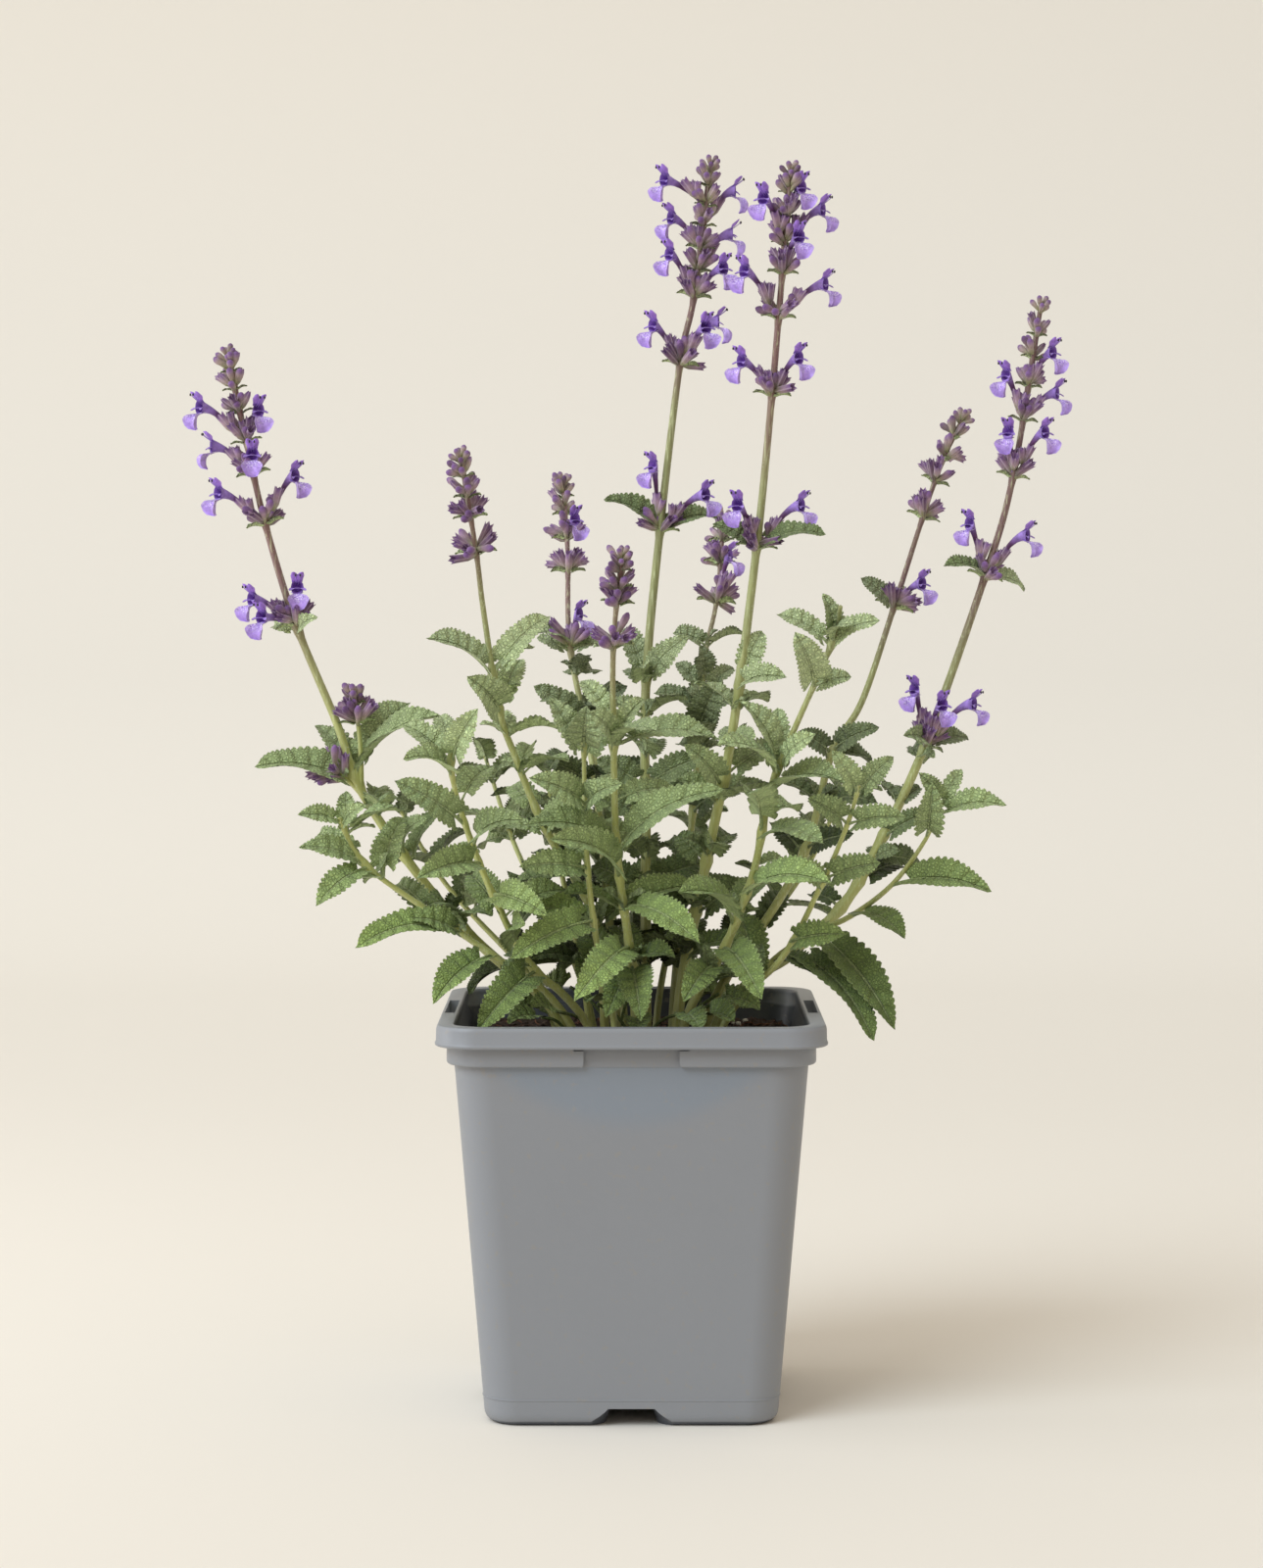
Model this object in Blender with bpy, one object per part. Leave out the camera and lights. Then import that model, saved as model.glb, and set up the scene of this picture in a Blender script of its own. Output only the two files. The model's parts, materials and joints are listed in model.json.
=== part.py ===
"""Potted catmint in a square nursery pot, modelled as separate solids.

Lengths are in millimetres and are turned into metres when a mesh is made. The origin is on
the floor under the middle of the pot, +Z is up and the front of the plant looks along -Y.
Each leafy stem, flower spike and leafy shoot is one solid: its leaves, calyces and flowers
are placed on it by hand or by a rule, bent clear of their neighbours, and fused to it.
"""

import math
import random

import bmesh
import bpy
import numpy as np
from mathutils import Matrix, Vector
from mathutils.bvhtree import BVHTree

MM = 0.001
SEED = 11
GAP = 0.35

# Pot
POT_HEIGHT = 137.0
RIM_WIDTH = 130.0
RIM_DEPTH = 7.1
RIM_RADIUS = 14.0
MOUTH_WIDTH = 117.6
SKIRT_WIDTH = 122.3
SKIRT_DEPTH = 6.5
SKIRT_BREAK = 32.0
BODY_TOP_WIDTH = 117.4
BODY_BOTTOM_WIDTH = 98.6
BODY_RADIUS = 12.0
WALL = 1.4
FLOOR_TOP = 8.2
CHANNEL_HEIGHT = 6.2
WELL_SIZE = 29.0
WELL_CENTRE = 26.5
WELL_FLOOR = 1.8
DRAIN_CENTRE = 27.0
DRAIN_RADIUS = 4.0
SLOT_LENGTH = 38.5
SLOT_WIDTH = 3.4
CORNER_STEPS = 4

# Soil
SOIL_TOP = 125.5
ROOT_DEPTH = 14.0

# Leaves
LEAF_THICK = 1.0
LEAF_ARCH = 0.24
LEAF_FOLD = 0.3
WIDE_LEAF = 12.0
NARROW_LEAF = 9.2
PETIOLE_SHARE = 0.2
PETIOLE_THICK = 0.75

# Calyces, buds and open flowers: the calyx is widest at its mouth, the corolla's throat at its lips
CALYX_LENGTH = 8.6
CALYX_RADIUS = 1.35
BUD_RADIUS = 1.05
TIP_BUD_LENGTH = 7.0
TIP_BUD_RADIUS = 1.1
NECK_RADIUS = 0.75
THROAT_HEIGHT = 1.9
THROAT_WIDTH = 1.7
THROAT_DEPTH = 1.2
UPPER_LIP = (2.2, 4.0, 1.7)
LOWER_LIP_SIDE = (3.2, -1.3, 2.7)
LOWER_LIP_TIP = (4.6, -3.6)
TO_FRONT = np.array([0.0, -1.0, 0.0])
UP = np.array([0.0, 0.0, 1.0])

# Thickness of a shoot and of a side branch at the foot and the tip, and the share of a square
# stem's thickness that its corners stand off the middle
SHOOT_THICK = (3.0, 1.4)
BRANCH_THICK = (2.2, 1.3)
CORNER = 0.62

# Half outlines of a leaf: place along the blade, share of the half width. Notches lie between teeth.
FULL_TEETH = [(-0.1, 0.0), (-0.05, 0.62), (0.13, 1.0), (0.24, 0.86), (0.39, 0.95), (0.50, 0.72),
              (0.65, 0.68), (0.75, 0.44), (0.88, 0.34)]
SOME_TEETH = [(-0.1, 0.0), (0.10, 1.0), (0.30, 0.78), (0.44, 0.86), (0.60, 0.56), (0.76, 0.50)]
FEW_TEETH = [(0.16, 1.0), (0.42, 0.70), (0.62, 0.72)]

# Stems: the route from the soil up, the thickness at the foot and the tip, and the height at
# which the green leafy stem gives way to the purple flower spike.
STEMS = {
    "tall_left": {
        "route": [(-20, -4, 136), (-38, -6, 147), (-59, -8, 166), (-79, -10, 191), (-94, -13, 215),
                  (-101, -15, 236), (-115, -18, 271), (-125, -20, 305), (-131, -23, 333), (-137, -26, 363)],
        "thick": (4.2, 1.8), "spike_from": 266,
        "whorls": [(271, 4), (305, 4), (322, 4), (333, 4), (343, 3), (351, 3), (357, 2)],
        "flowers": [(-150, -28, 343), (-148, -16, 330), (-124, -30, 342), (-128, -34, 327), (-144, -26, 314),
                    (-111, -22, 320), (-133, -24, 278), (-128, -32, 272), (-113, -28, 282)],
        "leaves": [(215, (-127, -25, 223), 8), (220, (-77, -3, 244), 7), (219, (-65, -29, 241), 7),
                   (217, (-109, -5, 236), 4), (191, (-71, -29, 205), 7), (166, (-48, -33, 173), 6),
                   (268, (-107, -30, 273), 5), (268, (-124, -6, 270), 5)],
        "branches": [{"route": [(-93, -13, 212), (-93, -16, 228), (-95, -16, 246)],
                      "whorls": [(237, 4), (244, 3)]},
                     {"route": [(-93, -13, 213), (-103, -16, 221)], "whorls": [(219, 3)]}],
    },
    "bud_left": {
        "route": [(-9, -5, 136), (-13, -11, 169), (-30, -17, 201), (-40, -23, 226), (-45, -30, 242),
                  (-50, -37, 276), (-52, -45, 295), (-57, -52, 328)],
        "thick": (3.6, 1.5), "spike_from": 289,
        "whorls": [(295, 4), (307, 4), (314, 3), (321, 3)],
        "flowers": [],
        "leaves": [(253, (-68, -43, 267), 6), (254, (-28, -27, 274), 7), (241, (-54, -47, 253), 12),
                   (242, (-38, -17, 259), 7), (201, (-15, -36, 212), 9), (180, (-32, -38, 190), 8),
                   (207, (-42, -3, 215), 8)],
    },
    "bud_back": {
        "route": [(-5, 10, 135), (-11, 19, 199), (-15, 30, 227), (-22, 41, 262), (-23, 53, 296), (-25, 66, 322)],
        "thick": (3.6, 1.5), "spike_from": 257,
        "whorls": [(262, 4), (289, 4), (301, 4), (310, 3), (316, 2)],
        "flowers": [(-18, 50, 306), (-15, 40, 272)],
        "leaves": [(260, (-34, 44, 265), 4), (260, (-10, 44, 265), 4), (235, (-34, 24, 248), 8),
                   (235, (-2, 24, 248), 8), (213, (2, 16, 222), 9), (213, (-29, 18, 222), 9)],
    },
    "bud_front": {
        "route": [(2, -14, 138), (-1, -22, 162), (-5, -32, 194), (-6, -43, 230), (-6, -54, 264), (-3, -66, 295)],
        "thick": (3.8, 1.5), "spike_from": 258,
        "whorls": [(264, 4), (278, 4), (284, 4), (290, 3)],
        "flowers": [],
        "leaves": [(230, (-18, -56, 242), 9), (230, (8, -64, 237), 5), (231, (4, -38, 246), 4),
                   (230, (29, -50, 234), 7), (194, (29, -53, 217), 12), (196, (-34, -49, 205), 9),
                   (185, (-25, -64, 201), 13), (174, (22, -62, 167), 12), (160, (-25, -60, 148), 14),
                   (153, (3, -54, 140), 12), (152, (-13, -45, 140), 8), (240, (-17, -42, 252), 6)],
    },
    "tall_mid": {
        "route": [(5, 1, 136), (5, 5, 194), (5, 8, 248), (10, 12, 303), (17, 16, 361), (22, 20, 385),
                  (28, 24, 432)],
        "thick": (4.4, 1.9), "spike_from": 297,
        "whorls": [(303, 4), (361, 4), (385, 4), (394, 4), (402, 4), (410, 4), (417, 3), (424, 3)],
        "flowers": [(8, 17, 424), (41, 30, 421), (10, 20, 411), (40, 32, 406), (10, 15, 398), (35, 12, 393),
                    (4, 12, 373), (28, 2, 372), (35, 24, 375), (4, 10, 324), (29, 4, 314)],
        "leaves": [(303, (-9, 7, 314), 5), (303, (30, 17, 308), 5), (252, (19, -4, 266), 8),
                   (252, (-2, 18, 269), 7), (214, (26, -3, 225), 9), (214, (-12, 5, 223), 8),
                   (180, (26, 14, 186), 10), (178, (-14, 8, 186), 10)],
    },
    "tall_right": {
        "route": [(15, -2, 136), (26, -3, 188), (35, -7, 234), (43, -12, 297), (48, -16, 349), (50, -21, 375),
                  (54, -26, 425)],
        "thick": (4.4, 1.9), "spike_from": 291,
        "whorls": [(297, 4), (349, 4), (375, 4), (390, 4), (400, 4), (409, 4), (417, 3)],
        "flowers": [(42, -34, 413), (60, -30, 417), (69, -22, 410), (58, -36, 400), (35, -28, 389),
                    (70, -20, 385), (34, -20, 359), (60, -22, 360), (62, -14, 310), (34, -24, 310)],
        "leaves": [(297, (28, -12, 305), 5), (297, (66, -18, 302), 5), (254, (45, -7, 268), 8),
                   (249, (52, -25, 253), 7), (215, (19, -19, 229), 9), (218, (50, 9, 228), 8),
                   (188, (16, 3, 197), 9), (170, (40, -8, 182), 9)],
    },
    "bud_mid": {
        "route": [(14, 17, 134), (21, 25, 196), (25, 38, 245), (27, 52, 261), (31, 67, 278), (34, 82, 309)],
        "thick": (3.4, 1.4), "spike_from": 272,
        "whorls": [(278, 4), (292, 4), (300, 3), (305, 2)],
        "flowers": [(40, 68, 293)],
        "leaves": [(247, (16, 43, 256), 5), (247, (37, 47, 254), 5), (232, (31, 20, 251), 12),
                   (230, (12, 28, 236), 7), (203, (33, 16, 214), 9), (206, (6, 36, 216), 9)],
    },
    "bud_right": {
        "route": [(23, 10, 135), (42, 15, 158), (61, 21, 189), (71, 28, 224), (82, 35, 242), (94, 43, 276),
                  (109, 50, 321), (120, 58, 345)],
        "thick": (3.8, 1.5), "spike_from": 270,
        "whorls": [(276, 3), (308, 4), (321, 4), (329, 4), (337, 3)],
        "flowers": [(107, 38, 283)],
        "leaves": [(276, (82, 37, 286), 6), (276, (100, 55, 282), 4), (224, (59, 22, 232), 7),
                   (225, (86, 14, 234), 7), (189, (51, 29, 199), 8), (191, (77, 8, 197), 8),
                   (162, (54, 30, 175), 8)],
    },
    "tall_far": {
        "route": [(25, -2, 136), (53, 1, 154), (73, 4, 171), (87, 8, 194), (103, 12, 228), (124, 16, 287),
                  (134, 20, 322), (144, 24, 383)],
        "thick": (4.4, 1.8), "spike_from": 222,
        "whorls": [(228, 4), (287, 4), (322, 4), (342, 4), (354, 4), (364, 3), (372, 3)],
        "flowers": [(151, 18, 364), (128, 18, 356), (154, 24, 350), (148, 14, 336), (130, 14, 336),
                    (115, 13, 304), (143, 17, 300), (96, 8, 246), (110, 0, 241), (124, 12, 241)],
        "leaves": [(287, (109, 7, 291), 4), (287, (139, 23, 282), 4), (228, (95, -4, 232), 6),
                   (228, (119, 20, 230), 5), (163, (90, -29, 134), 13), (156, (77, -36, 131), 8),
                   (153, (63, -17, 151), 5), (171, (63, 19, 175), 5), (180, (97, 25, 185), 7),
                   (196, (104, 2, 205), 6)],
        "branches": [{"route": [(64, 3, 163), (76, -5, 169), (90, -14, 181), (101, -19, 197),
                                (106, -22, 210)],
                      "leaves": [(181, (122, -30, 181), 9), (170, (93, -30, 165), 5), (205, (127, -30, 210), 6),
                                 (209, (98, -32, 220), 6), (209, (113, -18, 221), 5), (198, (102, -34, 216), 9)]}],
    },
    "leafy_front": {
        "route": [(15, -13, 136), (30, -21, 156), (41, -32, 185), (46, -44, 212), (52, -57, 231),
                  (66, -70, 265), (68, -82, 277)],
        "thick": (3.8, 1.6),
        "leaves": [(266, (63, -79, 281), 4), (266, (71, -87, 272), 5), (264, (48, -69, 275), 5),
                   (265, (80, -83, 273), 6), (251, (54, -84, 268), 11), (251, (72, -70, 254), 6),
                   (221, (37, -61, 246), 6), (221, (29, -71, 233), 6), (221, (49, -45, 243), 6),
                   (224, (60, -66, 235), 6), (216, (70, -66, 220), 6), (202, (38, -70, 217), 6),
                   (199, (63, -64, 200), 7), (179, (65, -64, 187), 12), (169, (17, -55, 183), 9),
                   (160, (43, -59, 148), 12), (153, (18, -46, 145), 9)],
    },
    "low_left": {
        "route": [(-16, -14, 136), (-35, -17, 148), (-69, -22, 172), (-91, -28, 189), (-99, -34, 205)],
        "thick": (3.2, 1.5),
        "leaves": [(189, (-112, -37, 196), 6), (191, (-108, -17, 199), 7), (200, (-97, -31, 214), 6),
                   (188, (-106, -45, 177), 7), (167, (-93, -40, 163), 8), (172, (-79, -4, 181), 8),
                   (157, (-67, -42, 144), 7), (204, (-112, -42, 207), 5), (203, (-90, -44, 210), 5)],
    },
    "leafy_left": {
        "route": [(-10, -15, 136), (-33, -23, 152), (-47, -34, 179), (-56, -45, 204), (-60, -57, 223),
                  (-58, -68, 236)],
        "thick": (3.4, 1.5),
        "leaves": [(226, (-51, -76, 243), 9), (225, (-76, -54, 238), 6), (227, (-64, -47, 241), 5),
                   (221, (-74, -75, 228), 6), (204, (-78, -58, 219), 10), (190, (-70, -65, 188), 11),
                   (179, (-29, -57, 175), 10), (197, (-37, -62, 207), 8), (161, (-37, -56, 172), 11),
                   (152, (-51, -52, 136), 15)],
    },
    "leafy_right": {
        "route": [(27, -14, 136), (50, -20, 154), (64, -26, 180), (73, -32, 202), (77, -36, 216)],
        "thick": (3.0, 1.4),
        "leaves": [(214, (68, -44, 228), 7), (214, (88, -40, 226), 7), (203, (60, -38, 212), 8),
                   (203, (92, -42, 206), 8), (184, (84, -34, 190), 9), (182, (52, -40, 190), 8),
                   (162, (72, -36, 166), 9)],
    },
    "leafy_centre": {
        "route": [(-4, -24, 136), (-11, -30, 158), (-15, -34, 190), (-16, -40, 224), (-16, -44, 234)],
        "thick": (3.0, 1.4),
        "leaves": [(230, (-15, -56, 243), 11), (228, (-27, -50, 246), 8), (210, (-33, -56, 220), 9),
                   (210, (-4, -54, 218), 8), (188, (-37, -48, 190), 9), (170, (-40, -52, 160), 11)],
    },
}

# Leafy shoots that fill the back and the heart of the plant: foot, heading in degrees, reach and
# top height
SHOOT_FOOT = 136.0
RULE_SHOOTS = {
    "shoot_back_a": ((-12, 16), 132, 62, 222), "shoot_back_b": ((-2, 22), 104, 52, 236),
    "shoot_back_c": ((8, 26), 66, 50, 218), "shoot_back_d": ((26, 22), 34, 62, 210),
    "shoot_back_e": ((-24, 8), 160, 62, 204), "shoot_heart": ((-14, 6), 170, 16, 220),
}

COLOURS = {
    "pot": (0.275, 0.285, 0.300), "soil": (0.030, 0.022, 0.016),
    "green": (0.150, 0.230, 0.110), "purple": (0.230, 0.120, 0.330),
}


def make_material(name, colour, roughness):
    material = bpy.data.materials.new(name)
    material.use_nodes = True
    shader = material.node_tree.nodes["Principled BSDF"]
    shader.inputs["Base Color"].default_value = (*colour, 1.0)
    shader.inputs["Roughness"].default_value = roughness
    shader.inputs["Metallic"].default_value = 0.0
    material.diffuse_color = (*colour, 1.0)
    return material


def new_collection(name, hidden=False):
    collection = bpy.data.collections.new(name)
    bpy.context.scene.collection.children.link(collection)
    collection.hide_render = hidden
    return collection


def make_object(name, points, faces, collection):
    """A mesh object from points in millimetres, with its faces turned outwards."""
    mesh = bpy.data.meshes.new(name)
    mesh.from_pydata([tuple(p) for p in np.asarray(points, float) * MM], [], faces)
    bm = bmesh.new()
    bm.from_mesh(mesh)
    bmesh.ops.recalc_face_normals(bm, faces=bm.faces)
    bm.to_mesh(mesh)
    bm.free()
    obj = bpy.data.objects.new(name, mesh)
    collection.objects.link(obj)
    return obj


def remove_object(obj):
    mesh = obj.data
    bpy.data.objects.remove(obj)
    bpy.data.meshes.remove(mesh)


def combine(obj, tools, operation, solver="EXACT"):
    """Cuts the tools from obj, or joins them to it, with one Boolean, applied."""
    modifier = obj.modifiers.new("combine", "BOOLEAN")
    modifier.operation = operation
    modifier.solver = solver
    modifier.operand_type = "COLLECTION"
    modifier.collection = tools
    evaluated = obj.evaluated_get(bpy.context.evaluated_depsgraph_get())
    mesh = bpy.data.meshes.new_from_object(evaluated)
    obj.modifiers.clear()
    old = obj.data
    obj.data = mesh
    bpy.data.meshes.remove(old)
    for tool in list(tools.objects):
        remove_object(tool)
    bpy.data.collections.remove(tools)


def keep_one_body(obj):
    """Drops loose scraps and the walls of sealed hollows, so that one closed body is left."""
    bm = bmesh.new()
    bm.from_mesh(obj.data)
    bmesh.ops.triangulate(bm, faces=bm.faces)
    unseen = set(bm.faces)
    bodies = []
    while unseen:
        body = []
        front = [unseen.pop()]
        while front:
            face = front.pop()
            body.append(face)
            for edge in face.edges:
                for other in edge.link_faces:
                    if other in unseen:
                        unseen.remove(other)
                        front.append(other)
        bodies.append(body)
    bodies.sort(key=len)
    for body in bodies[:-1]:
        bmesh.ops.delete(bm, geom=body, context="FACES")
    bm.to_mesh(obj.data)
    bm.free()
    return [len(body) for body in bodies]


def finish(obj, collection, colour, roughness=0.7):
    for user in list(obj.users_collection):
        user.objects.unlink(obj)
    collection.objects.link(obj)
    obj.data.materials.clear()
    obj.data.materials.append(make_material(obj.name, COLOURS[colour], roughness))


# Pot and soil


def rounded_square(width, radius, z):
    """Points round a square with rounded corners, counter-clockwise, at one height."""
    points = []
    inner = width / 2 - radius
    for corner, (sx, sy) in enumerate(((1, 1), (-1, 1), (-1, -1), (1, -1))):
        for step in range(CORNER_STEPS + 1):
            angle = math.radians(90 * corner + 90 * step / CORNER_STEPS)
            points.append((sx * inner + radius * math.cos(angle),
                           sy * inner + radius * math.sin(angle), z))
    return points


def loft(rings):
    """Points and faces of a closed body through rings that have the same number of points."""
    count = len(rings[0])
    points = [p for ring in rings for p in ring]
    faces = []
    for row in range(len(rings) - 1):
        for i in range(count):
            j = (i + 1) % count
            low, high = row * count, (row + 1) * count
            faces.append((low + i, low + j, high + j, high + i))
    faces.append(tuple(reversed(range(count))))
    last = (len(rings) - 1) * count
    faces.append(tuple(range(last, last + count)))
    return points, faces


def box(name, size, centre, collection):
    bpy.ops.mesh.primitive_cube_add(size=1)
    obj = bpy.context.object
    obj.name = name
    for user in list(obj.users_collection):
        user.objects.unlink(obj)
    collection.objects.link(obj)
    obj.data.transform(Matrix.Diagonal((*[s * MM for s in size], 1)))
    obj.data.transform(Matrix.Translation(Vector(centre) * MM))
    obj.display_type = "WIRE"
    obj.hide_render = True
    return obj


def turned(xyz, quarter):
    """A point turned by quarter turns about the upright axis."""
    x, y, z = xyz
    for _ in range(quarter):
        x, y = -y, x
    return (x, y, z)


def along_side(length, depth, quarter):
    """Sizes along x and y of something that runs along the pot's side of that quarter turn."""
    return (length, depth) if quarter % 2 == 0 else (depth, length)


def body_width(z):
    """Outer width of the tapered wall at a height."""
    top = POT_HEIGHT - RIM_DEPTH - SKIRT_DEPTH
    return BODY_BOTTOM_WIDTH + (BODY_TOP_WIDTH - BODY_BOTTOM_WIDTH) * (z - 4.5) / (top - 4.5)


def make_pot(collection):
    rim_under = POT_HEIGHT - RIM_DEPTH
    skirt_under = rim_under - SKIRT_DEPTH
    rings = [
        rounded_square(BODY_BOTTOM_WIDTH - 7.4, 8.5, 0.0),
        rounded_square(BODY_BOTTOM_WIDTH - 2.8, 10.5, 1.3),
        rounded_square(BODY_BOTTOM_WIDTH, BODY_RADIUS, 4.5),
        rounded_square(BODY_TOP_WIDTH, BODY_RADIUS + 1, skirt_under),
        rounded_square(SKIRT_WIDTH, BODY_RADIUS + 2, skirt_under + 0.7),
        rounded_square(SKIRT_WIDTH, BODY_RADIUS + 2, rim_under),
        rounded_square(RIM_WIDTH - 0.8, RIM_RADIUS, rim_under + 0.1),
        rounded_square(RIM_WIDTH, RIM_RADIUS, rim_under + 1.2),
        rounded_square(RIM_WIDTH, RIM_RADIUS, POT_HEIGHT - 1.2),
        rounded_square(RIM_WIDTH - 2.0, RIM_RADIUS - 1, POT_HEIGHT),
        rounded_square(MOUTH_WIDTH + 1.2, 10.5, POT_HEIGHT),
        rounded_square(MOUTH_WIDTH, 10.0, POT_HEIGHT - 1.2),
        rounded_square(MOUTH_WIDTH, 10.0, rim_under + 2.0),
        rounded_square(body_width(rim_under) - 2 * WALL - 1.2, 9.5, rim_under - 0.5),
        rounded_square(body_width(FLOOR_TOP) - 2 * WALL, 9.0, FLOOR_TOP),
    ]
    pot = make_object("pot", *loft(rings), collection)
    cutters = new_collection("pot_cutters", hidden=True)
    slot_middle = MOUTH_WIDTH / 2 + 1.3 + SLOT_WIDTH / 2
    break_inside = body_width(rim_under) / 2 - 0.25
    for quarter in range(4):
        box("skirt_break", (*along_side(SKIRT_BREAK, 6.0, quarter), SKIRT_DEPTH + 0.2),
            turned((0, -(break_inside + 3.0), skirt_under + SKIRT_DEPTH / 2 - 0.2), quarter), cutters)
        box("label_slot", (*along_side(SLOT_LENGTH, SLOT_WIDTH, quarter), RIM_DEPTH + 2),
            turned((0, -slot_middle, POT_HEIGHT - RIM_DEPTH / 2 + 0.2), quarter), cutters)
        box("foot_well", (WELL_SIZE, WELL_SIZE, 8.0),
            turned((WELL_CENTRE, -WELL_CENTRE, WELL_FLOOR + 4.0), quarter), cutters)
    for quarter in range(2):
        rings = []
        for z, inner, flare in ((-1.0, 9.6, 17.6), (2.0, 8.6, 15.6), (CHANNEL_HEIGHT, 6.6, 13.4)):
            half = [(flare, -51), (flare, -49.5), (inner, -42), (inner, 42), (flare, 49.5), (flare, 51)]
            outline = half + [(-x, -y) for x, y in half]
            rings.append([turned((x, y, z), quarter) for x, y in outline])
        make_object("foot_channel", *loft(rings), cutters)
    for quarter in range(4):
        rings = []
        for z in (4.0, 10.0):
            ring = [(DRAIN_RADIUS * math.cos(a), DRAIN_RADIUS * math.sin(a) - DRAIN_CENTRE, z)
                    for a in np.linspace(0, 2 * math.pi, 9)[:-1]]
            rings.append([turned(p, quarter) for p in ring])
        make_object("drain_hole", *loft(rings), cutters)
    combine(pot, cutters, "DIFFERENCE")
    keep_one_body(pot)
    finish(pot, collection, "pot", 0.45)
    pot.data.shade_smooth()
    pot.data.set_sharp_from_angle(angle=math.radians(30))
    return pot


def soil_height(x, y):
    """Crumbly surface: three crossing waves of different pitch about the level of the soil."""
    return (SOIL_TOP + 0.8 * math.sin(0.31 * x + 1.0) * math.cos(0.27 * y)
            + 0.5 * math.sin(0.63 * y + 0.41 * x) + 0.4 * math.cos(0.83 * x - 0.37 * y))


def make_soil(collection, feet):
    """Soil up to the crumbly surface, down into the four foot wells, with a plain hole for each stem."""
    clearance = 2 * GAP
    top_width = body_width(SOIL_TOP) - 2 * WALL - 1.2 - clearance
    rings = [rounded_square(body_width(FLOOR_TOP) - 2 * WALL - clearance, 8.8, FLOOR_TOP + GAP),
             rounded_square(top_width - 0.6, 9.2, SOIL_TOP - 2.5)]
    for share in (0.97, 0.72, 0.46, 0.2):
        ring = rounded_square(top_width * share, 9 * share, 0)
        rings.append([(x, y, soil_height(x, y)) for x, y, _ in ring])
    soil = make_object("soil", *loft(rings), collection)
    wells = new_collection("soil_wells", hidden=True)
    for quarter in range(4):
        size = WELL_SIZE - clearance
        box("soil_well", (size, size, 10.0),
            turned((WELL_CENTRE, -WELL_CENTRE, WELL_FLOOR + GAP + 5.0), quarter), wells)
    combine(soil, wells, "UNION")
    holes = new_collection("stem_holes", hidden=True)
    for points, radii in feet:
        tube("stem_hole", points, [r + GAP * 1.5 for r in radii], holes, extend=0.6)
    combine(soil, holes, "DIFFERENCE")
    keep_one_body(soil)
    finish(soil, collection, "soil", 0.95)
    return soil


# Stems


def smooth_route(route, spacing):
    """Points at about the given spacing on a Catmull-Rom curve through the route's own points."""
    route = [np.array(p, float) for p in route]
    ends = [2 * route[0] - route[1], *route, 2 * route[-1] - route[-2]]
    out = []
    for a, b, c, d in zip(ends, ends[1:], ends[2:], ends[3:]):
        steps = max(1, round(float(np.linalg.norm(c - b)) / spacing))
        for i in range(steps):
            t = i / steps
            out.append(0.5 * (2 * b + (c - a) * t + (2 * a - 5 * b + 4 * c - d) * t * t
                              + (3 * b - a - 3 * c + d) * t ** 3))
    out.append(route[-1])
    return out


def point_at(points, z):
    """The point of a rising route at a height."""
    for a, b in zip(points, points[1:]):
        if a[2] <= z <= b[2]:
            return a + (b - a) * (z - a[2]) / (b[2] - a[2])
    return points[0] if z < points[0][2] else points[-1]


def radius_at(points, thick, z):
    """Corner radius of the square stem at a height."""
    share = min(1.0, max(0.0, (z - points[0][2]) / (points[-1][2] - points[0][2])))
    return CORNER * (thick[0] + (thick[1] - thick[0]) * share)


def direction_at(points, z):
    step = point_at(points, z + 4) - point_at(points, z - 4)
    return step / np.linalg.norm(step)


def tube(name, points, radii, collection, extend=0.0):
    """A square stem along points: a curve with a bevel and filled caps, made a closed mesh."""
    data = bpy.data.curves.new(name, "CURVE")
    data.dimensions = "3D"
    data.bevel_depth = MM
    data.bevel_resolution = 0
    data.use_fill_caps = True
    spline = data.splines.new("POLY")
    spline.points.add(len(points) - 1)
    for i, (point, radius) in enumerate(zip(points, radii)):
        z_shift = -extend if i == 0 else (8.0 if i == len(points) - 1 and extend else 0.0)
        spline.points[i].co = (point[0] * MM, point[1] * MM, (point[2] + z_shift) * MM, 1)
        spline.points[i].radius = radius
    curve = bpy.data.objects.new(name, data)
    bpy.context.scene.collection.objects.link(curve)
    evaluated = curve.evaluated_get(bpy.context.evaluated_depsgraph_get())
    mesh = bpy.data.meshes.new_from_object(evaluated)
    bm = bmesh.new()
    bm.from_mesh(mesh)
    bmesh.ops.remove_doubles(bm, verts=bm.verts, dist=1e-6)
    bmesh.ops.recalc_face_normals(bm, faces=bm.faces)
    bm.to_mesh(mesh)
    bm.free()
    obj = bpy.data.objects.new(name, mesh)
    obj.matrix_world = curve.matrix_world
    collection.objects.link(obj)
    bpy.data.objects.remove(curve)
    bpy.data.curves.remove(data)
    return obj


# Leaves, calyces and flowers, as points in millimetres and faces


def unit(vector):
    return vector / max(float(np.linalg.norm(vector)), 1e-9)


def across(vector, axis):
    """The unit part of a vector that is square to an axis."""
    return unit(vector - axis * float(vector @ axis))


def strip(left, right, left_at, right_at):
    """Triangles between two chains of points, walked together by their place along the leaf."""
    faces = []
    i = j = 0
    while i < len(left) - 1 or j < len(right) - 1:
        if j == len(right) - 1 or (i < len(left) - 1 and left_at[i + 1] <= right_at[j + 1]):
            faces.append((left[i], left[i + 1], right[j]))
            i += 1
        else:
            faces.append((left[i], right[j + 1], right[j]))
            j += 1
    return [f for f in faces if len(set(f)) == 3]


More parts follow.
